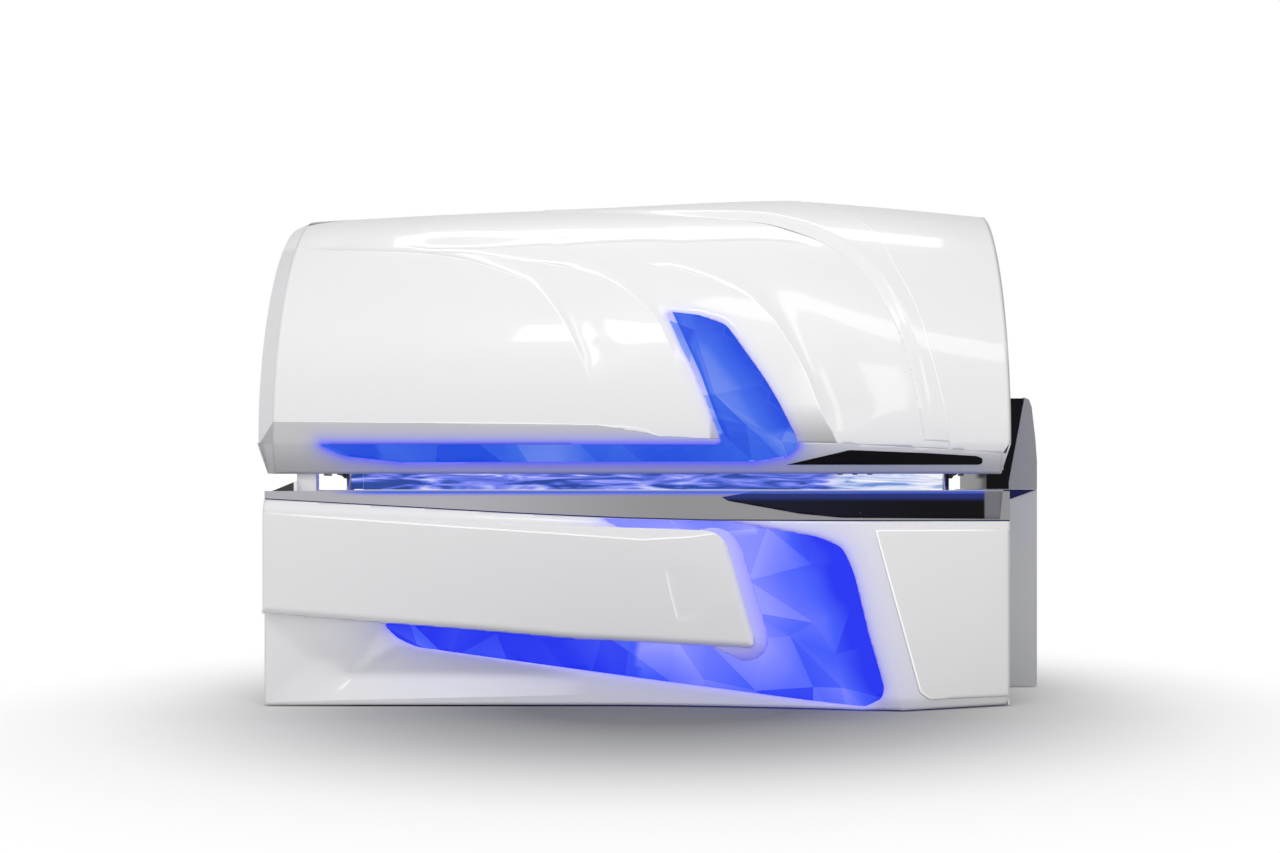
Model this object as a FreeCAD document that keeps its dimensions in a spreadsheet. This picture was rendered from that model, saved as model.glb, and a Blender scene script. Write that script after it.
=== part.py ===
import FreeCAD, Part
import math
import os
import re
import Sketcher

# Clamshell tanning bed. +X is the head end, -Y the front, +Z up, the origin on the floor in the middle.
# Lengths are in millimetres and angles in degrees.

V = FreeCAD.Vector
doc = FreeCAD.newDocument("TanningBed")

SIZES = [
    # what the base, the pillar and the shelves beside the lying surface add to the whole
    ("pillar_width", 171.5), ("pillar_gap", 0.5), ("front_shelf", 100), ("rear_shelf", 370),
    # base front: a flat foot end that swells into a nose and falls back to the head end
    ("base_length", 2176), ("base_inset", 22), ("nose_reach", 150), ("nose_top_reach", 80),
    ("nose_from_head", 327), ("nose_lean", 128), ("nose_start", 1000),
    ("deck_height", 629), ("deck_sheet", 4), ("skirting_gap", 5), ("front_sheet", 5), ("cover_sheet", 4),
    ("seat_gap", 0.3), ("trim_gap", 0.5), ("panel_gap", 0.5),
    ("cover_proud", 26), ("panel_proud", 6), ("slot_height", 4), ("recess_depth", 60),
    # base frame
    ("foot_height", 20), ("foot_pad_radius", 30), ("foot_pad_height", 10), ("foot_stem_radius", 8),
    ("rail_size", 50), ("rail_wall", 3), ("rail_set_back", 45), ("beam_height", 25), ("pan_sheet", 2),
    ("frame_inset", 20), ("well_room", 15),
    # lying surface and tunnel
    ("bench_radius", 900), ("bench_width", 780), ("tunnel_radius", 372),
    ("tunnel_z", 620), ("acrylic_sheet", 8), ("acrylic_length", 1990), ("edge_profile", 6),
    # tubes
    ("lamp_radius", 19), ("lamp_length", 1900), ("lamp_clearance", 11),
    ("lamp_wall", 1), ("lamp_cap", 18), ("reflector_clearance", 10), ("reflector_sheet", 2),
    ("base_lamp_count", 14), ("base_lamp_pitch", 3.3), ("canopy_lamp_count", 16), ("canopy_lamp_pitch", 9),
    ("rack_sheet", 12), ("facial_length", 420), ("facial_gap", 20), ("facial_width", 224),
    # canopy
    ("canopy_length", 2202), ("canopy_bottom", 680), ("skirt_height", 89), ("skirt_taper", 34),
    ("shoulder_rise", 31), ("apex_set_back", 150), ("canopy_rear_inset", 60), ("profile_power", 1.8),
    ("seam_depth", 150), ("seam_length", 195),
    ("ridge_height", 1548), ("ridge_from_foot", 1485), ("foot_drop", 52), ("head_drop", 32),
    ("arch_rise", 22), ("rear_lift", 80), ("bevel_width", 45), ("bevel_depth", 18), ("end_sheet", 4),
    ("rib_sheet", 6), ("rib_tube", 30), ("rib_lift", 40), ("rib_seat", 0.4), ("roof_rise", 110),
    ("rail_rise", 20), ("apron_set_back", 6), ("apron_clearance", 4),
    ("lens_sheet", 5), ("lens_overlap", 9), ("board_gap", 5), ("trim_sheet", 3),
    # hinge
    ("hinge_set_in", 200), ("hinge_z", 700), ("pin_radius", 12), ("running_gap", 0.05), ("bush_wall", 4),
    ("arm_sheet", 12), ("bracket_sheet", 12), ("bracket_width", 80), ("hinge_gap", 6), ("hub_radius", 28),
    ("lug_reach", 110), ("lug_radius", 8), ("lift_angle", 38), ("arm_height", 190),
    ("hinge_room", 60),
    # gas springs
    ("spring_length", 420), ("spring_radius", 14), ("rod_radius", 6), ("rod_clearance", 0.4),
    ("eye_slack", 5), ("eye_wall", 5), ("eye_sheet", 10), ("cylinder_length", 250),
    # rear pillar
    ("pillar_set_back", 540), ("pillar_top", 928), ("pillar_seam", 635), ("pillar_clearance", 8),
    # fans, ballasts, control gear
    ("fan_radius", 100), ("fan_size", 224), ("fan_height", 60), ("fan_gap", 4), ("fan_hub", 32),
    ("blade_sheet", 3), ("blade_pitch", 28), ("blade_count", 7), ("spindle_radius", 5),
    ("fan_from_head", 480), ("fan_set_back", 240),
    ("ballast_length", 230), ("ballast_width", 60), ("ballast_height", 45), ("ballast_pitch", 150),
    ("ballast_count", 8), ("ballast_bay", 420), ("ballast_set_in", 60), ("ballast_set_back", 120),
    ("box_length", 220), ("box_depth", 150), ("box_height", 240), ("box_wall", 2),
    ("gland_bore", 10), ("gland_wall", 5), ("gland_length", 32), ("gland_height", 120), ("gland_from_well", 120),
    ("button_radius", 8), ("button_stand", 3), ("button_travel", 1.5), ("button_pitch", 44),
    ("panel_length", 190), ("panel_width", 52), ("panel_height", 11.7), ("panel_wall", 3),
    ("panel_from_head", 450),
]

PLACES = [
    ("overall_length", "base_inset + base_length + pillar_gap + pillar_width"),
    ("overall_depth", "nose_reach + front_shelf + bench_width + rear_shelf"),
    ("canopy_left", "-overall_length / 2"),
    ("canopy_right", "canopy_left + canopy_length"),
    ("base_left", "canopy_left + base_inset"),
    ("base_right", "base_left + base_length"),
    ("pillar_right", "overall_length / 2"),
    ("middle_x", "(base_left + base_right) / 2"),
    ("front_y", "nose_reach - overall_depth / 2"),
    ("rear_y", "overall_depth / 2"),
    ("under_deck", "deck_height - deck_sheet"),
    ("bench_front", "front_y + front_shelf"),
    ("bench_rear", "bench_front + bench_width"),
    ("tunnel_y", "bench_front + bench_width / 2"),
    ("bench_z", "deck_height + sqrt(bench_radius^2 - (bench_width / 2)^2)"),
    ("acrylic_left", "middle_x - acrylic_length / 2"),
    ("acrylic_right", "middle_x + acrylic_length / 2"),
    ("lamp_left", "middle_x - lamp_length / 2"),
    ("lamp_right", "middle_x + lamp_length / 2"),
    ("rail_front", "front_y + rail_set_back"),
    ("rail_rear", "rear_y - rail_set_back - rail_size"),
    ("rail_top", "foot_height + rail_size"),
    ("post_rear", "bench_rear + edge_profile + 10"),
    ("beam_bottom", "under_deck - beam_height"),
    ("pan_top", "rail_top + pan_sheet"),
    ("bench_lamp_radius", "bench_radius + acrylic_sheet + lamp_clearance + lamp_radius"),
    ("bench_reflector_radius", "bench_lamp_radius + lamp_radius + reflector_clearance"),
    ("tunnel_lamp_radius", "tunnel_radius + acrylic_sheet + lamp_clearance + lamp_radius"),
    ("tunnel_reflector_radius", "tunnel_lamp_radius + lamp_radius + reflector_clearance"),
    ("widest_z", "canopy_bottom + skirt_height"),
    ("shoulder_height", "widest_z + shoulder_rise"),
    ("apex_y", "tunnel_y + apex_set_back"),
    ("canopy_rear", "rear_y - canopy_rear_inset"),
    ("hinge_y", "rear_y - hinge_set_in"),
    ("ballast_y", "bench_front + ballast_set_back"),
    ("rear_cover_bottom", "canopy_bottom + rear_lift"),
    ("cover_left", "canopy_left + bevel_width"),
    ("cover_right", "canopy_right - end_sheet"),
    ("lens_near", "cover_sheet + seat_gap"),
    ("board_near", "lens_near + lens_sheet + board_gap"),
    ("rib_inset", "board_near + pan_sheet + seat_gap"),
    ("rib_left", "canopy_left + bevel_width + 4"),
    ("rib_right", "base_left + base_right - rib_left"),
    ("arm_left", "rib_left + rib_sheet"),
    ("bracket_left", "arm_left + arm_sheet + hinge_gap"),
    ("spring_left", "bracket_left + bracket_sheet + hinge_gap + eye_sheet / 2"),
    ("spring_tilt", "lift_angle / 2"),
    ("well_left", "lamp_left - well_room"),
    ("well_right", "lamp_right + well_room"),
    ("gland_x", "well_right - gland_from_well"),
    ("facial_left", "lamp_right - facial_length"),
    ("edge_z", "canopy_bottom + 12"),
    ("rail_y", "front_y + skirt_taper + cover_sheet + 2"),
    ("rail_end_y", "tunnel_y - sqrt((tunnel_radius + acrylic_sheet)^2 - (canopy_bottom + 4 - tunnel_z)^2) - 1"),
    ("panel_x", "canopy_right - panel_from_head"),
    ("panel_y", "(rail_y + rail_end_y) / 2"),
    ("eye_bias", "lug_reach * (1 - cos(lift_angle / 2)) / 2"),
    ("fan_x", "lamp_right - fan_from_head"),
    ("fan_y", "tunnel_y + fan_set_back"),
    ("roof_tube_z", "tunnel_z + tunnel_reflector_radius + roof_rise"),
    ("rear_rail_z", "canopy_bottom + rail_rise"),
    ("rear_rail_y", "tunnel_y + sqrt((tunnel_reflector_radius + reflector_sheet)^2 - (rear_rail_z - tunnel_z)^2)"),
]

sheet_of = {}
WORD = re.compile(r"[a-z][a-z_0-9]*")


def bound(formula):
    """Write a formula over the sizes' names the way an expression names them."""
    return WORD.sub(lambda w: f"{sheet_of[w.group()]}.{w.group()}" if w.group() in sheet_of else w.group(),
                    str(formula))


def fill_sheet(label, rows, sign=""):
    """Write named rows into a spreadsheet; a sign of = makes each row a formula."""
    sheet = doc.addObject("Spreadsheet::Sheet", label)
    for line, (alias, content) in enumerate(rows, start=1):
        sheet.set(f"A{line}", alias.replace("_", " "))
        sheet.set(f"B{line}", sign + bound(content))
        sheet.setAlias(f"B{line}", alias)
        sheet_of[alias] = label
    return sheet


class Values:
    """Read a named size or place as a plain number."""

    def __getattr__(self, name):
        return float(doc.getObject(sheet_of[name]).get(name))


fill_sheet("Sizes", SIZES)
fill_sheet("Places", PLACES, "=")
doc.recompute()
v = Values()
nodes = {}


def keep(node, thing):
    """Name an object as a sub-part of the bed."""
    thing.Label = node
    nodes[node] = thing
    return thing


def bind(thing, **formulas):
    for name, formula in formulas.items():
        thing.setExpression(name, bound(formula))
    return thing


def put(thing, x="0", y="0", z="0"):
    """Tie the place of an object to the sheets."""
    thing.setExpression("Placement.Base.x", bound(x))
    thing.setExpression("Placement.Base.y", bound(y))
    thing.setExpression("Placement.Base.z", bound(z))
    return thing


def box(name, x, y, z):
    """Make a block between three pairs of formulas."""
    block = doc.addObject("Part::Box", name)
    bind(block, Length=f"({x[1]}) - ({x[0]})", Width=f"({y[1]}) - ({y[0]})", Height=f"({z[1]}) - ({z[0]})")
    return put(block, x[0], y[0], z[0])


TURNS = {
    "x": FreeCAD.Rotation(V(0, 1, 0), 90),
    "y": FreeCAD.Rotation(V(1, 0, 0), -90),
    "z": FreeCAD.Rotation(),
}


def rod(name, along, radius, length, x="0", y="0", z="0"):
    """Make a cylinder along an axis, from its first end."""
    cylinder = doc.addObject("Part::Cylinder", name)
    cylinder.Placement = FreeCAD.Placement(V(), TURNS[along])
    bind(cylinder, Radius=radius, Height=length)
    return put(cylinder, x, y, z)


def cut(name, base, tool):
    result = doc.addObject("Part::Cut", name)
    result.Base = base
    result.Tool = tool
    return result


def join(name, *shapes):
    result = doc.addObject("Part::MultiFuse", name)
    result.Shapes = list(shapes)
    return result


def overlap(name, *shapes):
    result = doc.addObject("Part::MultiCommon", name)
    result.Shapes = list(shapes)
    return result


def group(name, *things):
    """Keep separate solids together in one sub-part."""
    result = doc.addObject("Part::Compound", name)
    result.Links = list(things)
    return result


def solid(name, shape):
    """Keep a shape that was worked out from the sheets' numbers."""
    thing = doc.addObject("Part::Feature", name)
    thing.Shape = shape
    return thing


def square_tube(name, x, y, z, along):
    """Make a hollow rail; along is the axis it runs in."""
    outer = box(name + "_outer", x, y, z)
    spans = {"x": x, "y": y, "z": z}
    inner = {axis: span if axis == along else (f"{span[0]} + rail_wall", f"{span[1]} - rail_wall")
             for axis, span in spans.items()}
    return cut(name, outer, box(name + "_bore", inner["x"], inner["y"], inner["z"]))


def draw(sketch, corners):
    """Draw a closed outline whose corners are tied to the sheets."""
    count = len(corners)
    start = [V(math.cos(2 * math.pi * i / count), math.sin(2 * math.pi * i / count), 0) for i in range(count)]
    for i in range(count):
        sketch.addGeometry(Part.LineSegment(start[i], start[(i + 1) % count]), False)
    for i in range(count):
        sketch.addConstraint(Sketcher.Constraint("Coincident", i, 2, (i + 1) % count, 1))
    for i, corner in enumerate(corners):
        for kind, formula, guess in zip(("DistanceX", "DistanceY"), corner, (start[i].x, start[i].y)):
            number = sketch.addConstraint(Sketcher.Constraint(kind, -1, 1, i, 1, guess))
            sketch.setExpression(f"Constraints[{number}]", bound(formula))


def draw_circle(sketch, a, b, radius):
    """Draw a circle whose centre and radius are tied to the sheets."""
    circle = sketch.addGeometry(Part.Circle(V(1, 1, 0), V(0, 0, 1), 1), False)
    for kind, formula in (("DistanceX", a), ("DistanceY", b)):
        number = sketch.addConstraint(Sketcher.Constraint(kind, -1, 1, circle, 3, 1))
        sketch.setExpression(f"Constraints[{number}]", bound(formula))
    number = sketch.addConstraint(Sketcher.Constraint("Radius", circle, 1))
    sketch.setExpression(f"Constraints[{number}]", bound(radius))


def sketch_on(body, role, name):
    plane = next(feature for feature in body.Origin.OriginFeatures if feature.Role == role)
    sketch = body.newObject("Sketcher::SketchObject", name)
    sketch.AttachmentSupport = (plane, [""])
    sketch.MapMode = "FlatFace"
    return sketch


def plate(name, role, corners, thickness, bores=(), x="0", y="0", z="0"):
    """Pad an outline with through bores on one of a body's own planes."""
    body = doc.addObject("PartDesign::Body", name)
    outline = sketch_on(body, role, name + "_outline")
    draw(outline, corners)
    pad = body.newObject("PartDesign::Pad", name + "_pad")
    pad.Profile = outline
    bind(pad, Length=thickness)
    for number, bore in enumerate(bores):
        circle = sketch_on(body, role, f"{name}_bore{number}")
        draw_circle(circle, *bore)
        pocket = body.newObject("PartDesign::Pocket", f"{name}_pocket{number}")
        pocket.Profile = circle
        pocket.Type = "ThroughAll"
        pocket.Midplane = True
    return put(body, x, y, z)


def turned(name, corners):
    """Turn an outline of radius and height about the upright axis of a body."""
    body = doc.addObject("PartDesign::Body", name)
    outline = sketch_on(body, "XZ_Plane", name + "_outline")
    draw(outline, corners)
    turn = body.newObject("PartDesign::Revolution", name + "_turn")
    turn.Profile = outline
    turn.ReferenceAxis = (outline, ["V_Axis"])
    turn.Angle = 360
    return body


# ---------------------------------------------------------------- outlines on the front

def rounded(corners, y):
    """Close an upright outline of (x, z, corner radius) with tangent arcs in its corners."""
    points = [V(x, y, z) for x, z, _ in corners]
    count = len(points)
    edges = []
    ends = []
    for i, (_, _, radius) in enumerate(corners):
        here, before, after = points[i], points[i - 1], points[(i + 1) % count]
        back, ahead = before - here, after - here
        half = back.getAngle(ahead) / 2
        reach = min(radius / math.tan(half), 0.45 * back.Length, 0.45 * ahead.Length) if radius else 0
        if reach < 0.5 or half > math.radians(89.5):
            ends.append((here, None, here))
            continue
        start = here + back.normalize() * reach
        end = here + ahead.normalize() * reach
        bow = reach * math.tan(half)
        middle_way = (start + end) * 0.5 - here
        centre = here + middle_way * (reach / math.cos(half) / middle_way.Length)
        middle = centre + (here - centre).normalize() * bow
        ends.append((start, middle, end))
    for i, (start, middle, end) in enumerate(ends):
        if middle is not None:
            edges.append(Part.Arc(start, middle, end).toShape())
        following = ends[(i + 1) % count][0]
        if (following - end).Length > 0.01:
            edges.append(Part.LineSegment(end, following).toShape())
    return Part.Wire(edges)


def prism(corners, grow=0.0, near=None, far=None):
    """Push an upright outline from front to back."""
    near = -v.overall_depth if near is None else near
    far = v.apex_y if far is None else far
    wire = rounded(corners, near)
    if grow:
        wire = wire.makeOffset2D(grow)
    return Part.Face(wire).extrude(V(0, far - near, 0))


def on_base(shares):
    """Place outline points given as shares of the base's length and deck height."""
    return [(v.base_left + x * v.base_length, z * v.deck_height, radius) for x, z, radius in shares]


def on_canopy(shares):
    """Place outline points given as shares of the canopy's length and its height above the bottom edge."""
    tall = v.ridge_height - v.canopy_bottom
    return [(v.canopy_left + x * v.canopy_length, v.canopy_bottom + z * tall, radius) for x, z, radius in shares]


# Shares along and up the front; the third number is a corner's radius.
SLOT_LINE = [(-0.01, 0.968), (0.343, 0.9), (0.481, 0.879), (0.6, 0.869), (1.01, 0.866)]

BASE_LENS = [(0.455, 0.872, 0), (0.62, 0.860, 200), (0.739, 0.791, 60), (0.772, 0.745, 60), (0.787, 0.634, 300),
             (0.806, 0.350, 400), (0.826, 0.105, 60), (0.822, 0.058, 25), (0.801, 0.021, 30), (0.716, 0.047, 300),
             (0.529, 0.121, 800), (0.289, 0.234, 600), (0.203, 0.276, 120), (0.178, 0.318, 60), (0.157, 0.388, 12),
             (0.289, 0.375, 0), (0.42, 0.335, 0), (0.60, 0.300, 30), (0.63, 0.34, 30), (0.605, 0.72, 60),
             (0.58, 0.775, 60), (0.50, 0.79, 0)]

FRONT_COVER = [(0.0, 0.907, 0), (0.343, 0.846, 0), (0.505, 0.829, 0), (0.596, 0.842, 60), (0.625, 0.790, 70),
               (0.638, 0.66, 200), (0.662, 0.30, 40), (0.640, 0.258, 40), (0.423, 0.311, 0), (0.289, 0.353, 0),
               (0.158, 0.389, 0), (0.0, 0.434, 0)]

RIGHT_PANEL = [(0.815, 0.822, 6), (0.9985, 0.822, 0), (0.9985, 0.047, 0), (0.886, 0.050, 20), (0.872, 0.085, 20)]

RECESS_MOUTH = [(0.016, 0.026, 0), (0.008, 0.415, 0), (0.146, 0.386, 0), (0.172, 0.29, 0), (0.21, 0.235, 0),
                (0.305, 0.17, 0), (0.40, 0.075, 0)]

RECESS_FLOOR = [(0.095, 0.134, 0), (0.11, 0.294, 0), (0.140, 0.290, 0), (0.156, 0.254, 0), (0.19, 0.215, 0),
                (0.27, 0.16, 0), (0.33, 0.134, 0)]

GLASS_STRIP = [(0.622, 0.962, 0), (0.998, 0.994, 0), (0.998, 0.876, 0), (0.95, 0.876, 0)]

COVER_EDGE = [(-0.01, 0.174), (0.45, 0.163), (0.534, 0.126), (0.60, 0.118), (0.72, 0.106), (0.77, 0.103),
              (0.919, 0.083), (1.01, 0.069)]

CANOPY_LENS = [(0.543, 0.558, 8), (0.587, 0.545, 40), (0.622, 0.515, 60), (0.647, 0.422, 200), (0.671, 0.334, 0),
               (0.692, 0.243, 0), (0.708, 0.161, 0), (0.719, 0.095, 25), (0.706, 0.063, 25), (0.66, 0.041, 60),
               (0.188, 0.039, 60), (0.115, 0.059, 60), (0.079, 0.099, 6), (0.582, 0.098, 0), (0.617, 0.098, 12),
               (0.599, 0.227, 0), (0.583, 0.33, 0), (0.563, 0.439, 0)]

ARCH = [(0.33, 1.2, 0), (0.36, 0.975, 0), (0.409, 0.968, 0), (0.558, 0.936, 0), (0.66, 0.912, 0),
        (0.714, 0.873, 200), (0.77, 0.799, 200), (0.817, 0.68, 200), (0.852, 0.494, 200), (0.872, 0.30, 0), (0.885, 0.112, 0),
        (0.918, 0.107, 0), (0.915, 0.207, 300), (0.899, 0.389, 300), (0.881, 0.569, 300), (0.856, 0.719, 300),
        (0.838, 0.827, 200), (0.812, 0.9, 200), (0.75, 0.965, 100), (0.72, 1.2, 0)]

HEAD_COVER = [(0.72, 1.2, 0), (0.75, 0.965, 100), (0.812, 0.9, 200), (0.838, 0.827, 200), (0.856, 0.719, 300),
              (0.881, 0.569, 300), (0.899, 0.389, 300), (0.915, 0.207, 300), (0.92, 0.02, 0), (1.1, 0.02, 0),
              (1.1, 1.2, 0)]

TRIM_PLATE = [(0.703, 0.030, 0), (0.786, 0.079, 60), (0.888, 0.069, 0), (0.955, 0.059, 10), (0.963, 0.051, 6),
              (0.963, 0.034, 6), (0.957, 0.030, 6)]


# ---------------------------------------------------------------- base front

def plan_line(shift, height, reach, lean):
    """Draw the base's front in plan at one height, shifted back from its outer face."""
    y = v.front_y + shift
    start_x = v.base_left + v.nose_start
    nose_x = v.base_right - v.nose_from_head - lean
    nose_y = y - reach
    swell = Part.BSplineCurve()
    span = nose_x - start_x
    swell.interpolate([V(start_x, y, height), V(start_x + 0.36 * span, y - 0.19 * reach, height),
                       V(start_x + 0.70 * span, y - 0.58 * reach, height), V(nose_x, nose_y, height)])
    return [Part.LineSegment(V(v.base_left, y, height), V(start_x, y, height)).toShape(), swell.toShape(),
            Part.LineSegment(V(nose_x, nose_y, height), V(v.base_right, y, height)).toShape()]


def swell_at(x, height, reach, lean):
    """Measure how far the front stands out of its flat part at one place."""
    probe = Part.LineSegment(V(x, -v.overall_depth, height), V(x, v.overall_depth, height)).toShape()
    _, touches, _ = plan_line(0, height, reach, lean)[1].distToShape(probe)
    return v.front_y - touches[0][0].y


def plan_band(near, far, height, reach, lean):
    """Close the strip between two shifts of the front line at one height."""
    front = plan_line(near, height, reach, lean)
    back = plan_line(far, height, reach, lean)
    ends = [Part.LineSegment(V(x, v.front_y + near, height), V(x, v.front_y + far, height)).toShape()
            for x in (v.base_left, v.base_right)]
    return Part.Wire(Part.__sortEdges__(front + back + ends))


def front_slab(near, far):
    """Fill the space between two shifts of the base's front face, from the floor gap to the deck."""
    low = plan_band(near, far, v.skirting_gap, v.nose_reach, 0)
    high = plan_band(near, far, v.deck_height, v.nose_top_reach, v.nose_lean)
    return Part.makeLoft([low, high], True, True)


def slot_outline(low_edge, gap):
    """Close the area below or above the slot line."""
    line = [(x, z, 0) for x, z in SLOT_LINE]
    points = on_base(line)
    points = [(x, z + gap, radius) for x, z, radius in points]
    return points + [(points[-1][0], low_edge, 0), (points[0][0], low_edge, 0)]


def recess():
    """Make the hollow that folds inwards at the foot end of the lower fascia."""
    mouth = rounded(on_base(RECESS_MOUTH), v.front_y - 1)
    floor = rounded(on_base(RECESS_FLOOR), v.front_y + v.recess_depth)
    return Part.makeLoft([mouth, floor], True, True)


def recess_liner():
    """Make the wall round the recess, one sheet thick."""
    mouth = rounded(on_base(RECESS_MOUTH), v.front_y + 0.5).makeOffset2D(v.front_sheet)
    floor = rounded(on_base(RECESS_FLOOR), v.front_y + v.recess_depth + v.front_sheet)
    floor = floor.makeOffset2D(v.front_sheet)
    return Part.makeLoft([mouth, floor], True, True)


def make_base_front():
    fascia = front_slab(0, v.front_sheet).common(prism(slot_outline(0, -v.slot_height)))
    fascia = fascia.cut(prism(on_base(BASE_LENS)))
    fascia = fascia.fuse(recess_liner()).cut(recess()).removeSplitter()
    keep("base_lower_fascia", solid("LowerFascia", fascia))

    near = v.front_sheet + v.seat_gap
    lens = front_slab(near, near + v.lens_sheet)
    lens = lens.common(prism(on_base(BASE_LENS), grow=v.lens_overlap))
    lens = lens.cut(recess_liner())
    lens = max(lens.Solids, key=lambda piece: piece.Volume)
    keep("base_front_lens", solid("BaseLens", lens))

    post = v.middle_x - v.rail_size / 2
    back = v.rail_set_back - v.seat_gap + min(swell_at(post, v.skirting_gap, v.nose_reach, 0),
                                              swell_at(post, v.deck_height, v.nose_top_reach, v.nose_lean))
    board = front_slab(back - v.pan_sheet, back).common(prism(on_base(BASE_LENS)))
    board = board.cut(recess_liner())
    keep("base_light_board", solid("BaseLightBoard", board))

    cover = front_slab(-v.cover_proud, -v.cover_proud + v.front_sheet).common(prism(on_base(FRONT_COVER)))
    rim = front_slab(-v.cover_proud + 1, -v.seat_gap).common(prism(on_base(FRONT_COVER)))
    rim = rim.cut(prism(on_base(FRONT_COVER), grow=-v.front_sheet))
    keep("base_front_cover", solid("FrontCover", cover.fuse(rim).removeSplitter()))

    panel = front_slab(-v.panel_proud, -v.seat_gap).common(prism(on_base(RIGHT_PANEL)))
    keep("base_right_panel", solid("RightPanel", panel))


def make_deck():
    """Make the lip with the front deck, its slot light and the glass strip."""
    lip = front_slab(0, v.front_sheet).common(prism(slot_outline(v.deck_height + 50, 0)))
    top = plan_line(v.front_sheet - 0.5, v.deck_height, v.nose_top_reach, v.nose_lean)
    back = v.bench_front - v.edge_profile - 0.5
    corners = [V(v.base_left, v.front_y + v.front_sheet - 0.5, v.deck_height), V(v.base_left, back, v.deck_height),
               V(v.base_right, back, v.deck_height), V(v.base_right, v.front_y + v.front_sheet - 0.5, v.deck_height)]
    sides = [Part.LineSegment(a, b).toShape() for a, b in zip(corners, corners[1:])]
    deck = Part.Face(Part.Wire(Part.__sortEdges__(top + sides))).extrude(V(0, 0, -v.deck_sheet))
    keep("base_lip", solid("Lip", lip.fuse(deck).removeSplitter()))

    slot = front_slab(1.5, v.front_sheet).common(prism(slot_outline(v.deck_height + 50, -v.slot_height + 0.2)))
    slot = slot.cut(prism(slot_outline(v.deck_height + 60, -0.2)))
    keep("slot_light", solid("SlotLight", slot))

    strip = front_slab(-v.trim_sheet, -v.trim_gap).common(prism(on_base(GLASS_STRIP)))
    keep("base_glass_strip", solid("GlassStrip", strip))

    rear = box("RearDeckSheet", ("base_left", "base_right"),
               ("bench_rear + edge_profile + panel_gap", "rear_y - cover_sheet"), ("under_deck", "deck_height"))
    wells = join("HingeWells", *[
        box("HingeWell" + side, span, ("bench_rear + edge_profile + 8", "rear_y - 60"),
            ("under_deck - 1", "deck_height + 1"))
        for side, span in (("Foot", ("base_left + 6", "well_left")), ("Head", ("well_right", "base_right - 6")))])
    keep("base_rear_deck", cut("RearDeck", rear, wells))


def make_base_shell():
    """Make the end caps, whose tops follow the lying surface, the rear cover and the end mouldings."""
    caps = []
    for side, x in (("Foot", ("base_left", "base_left + cover_sheet")),
                    ("Head", ("base_right - cover_sheet", "base_right"))):
        sheet = box("EndSheet" + side, x, ("front_y + front_sheet + seat_gap", "rear_y"),
                    ("skirting_gap", "under_deck - seat_gap"))
        dip = rod("EndDip" + side, "x", "bench_radius + acrylic_sheet + 0.3", "base_length * 2", "-base_length",
                  "tunnel_y", "bench_z")
        caps.append(cut("EndCap" + side, sheet, dip))
    keep("base_end_caps", group("BaseEndCaps", *caps))
    gland_hole = rod("GlandHole", "y", "gland_bore + gland_wall + 0.3", "40", "gland_x", "rear_y - 20", "gland_height")
    rear = box("RearSheet", ("base_left + cover_sheet", "base_right - cover_sheet"),
               ("rear_y - cover_sheet", "rear_y"), ("skirting_gap", "deck_height"))
    keep("base_rear_cover", cut("BaseRearCover", rear, gland_hole))
    ends = [arc_sheet("Rest" + side, "bench_z", "bench_radius", "acrylic_sheet",
                      span, ("bench_front", "bench_rear"), ("0", "deck_height"))
            for side, span in (("Foot", ("base_left", "acrylic_left - 0.5")),
                               ("Head", ("acrylic_right + 0.5", "base_right")))]
    keep("bench_end_mouldings", group("EndMouldings", *ends))


# ---------------------------------------------------------------- arcs, tubes and racks

def arc_sheet(name, centre_z, radius, thickness, x, y, z):
    """Cut a part-round sheet from a ring along the bed, inside a block."""
    span = f"({x[1]}) - ({x[0]})"
    outer = rod(name + "_outer", "x", f"{radius} + {thickness}", span, x[0], "tunnel_y", centre_z)
    inner = rod(name + "_inner", "x", radius, f"({span}) + 2", f"({x[0]}) - 1", "tunnel_y", centre_z)
    return overlap(name, cut(name + "_ring", outer, inner), box(name + "_block", x, y, z))


def lamp(name, span, y, z):
    """Make a glass tube with a metal cap on each end."""
    left, right = span
    length = f"({right}) - ({left}) - 2 * lamp_cap"
    start = f"({left}) + lamp_cap"
    tube = cut(name, rod(name + "_out", "x", "lamp_radius", length, start, y, z),
               rod(name + "_in", "x", "lamp_radius - lamp_wall", length, start, y, z))
    caps = [rod(f"{name}_cap{i}", "x", "lamp_radius - 0.5", "lamp_cap", x, y, z)
            for i, x in enumerate((left, f"({right}) - lamp_cap"))]
    return [tube] + caps


def fan_of_lamps(name, pitch, count, centre_z, ring, upward, span, skip=()):
    """Lay lamps along the bed on an arc, the first and last the same way off the middle."""
    lamps = []
    for number in range(int(count)):
        if number in skip:
            continue
        turn = f"({number} - ({count} - 1) / 2) * {pitch}"
        y = f"tunnel_y + {ring} * sin({turn})"
        z = f"{centre_z} {upward} {ring} * cos({turn})"
        lamps += lamp(f"{name}{number}", span, y, z)
    return lamps


LAMP_SPAN = ("lamp_left", "lamp_right")
SHORT_SPAN = ("lamp_left", "facial_left - facial_gap")


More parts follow.
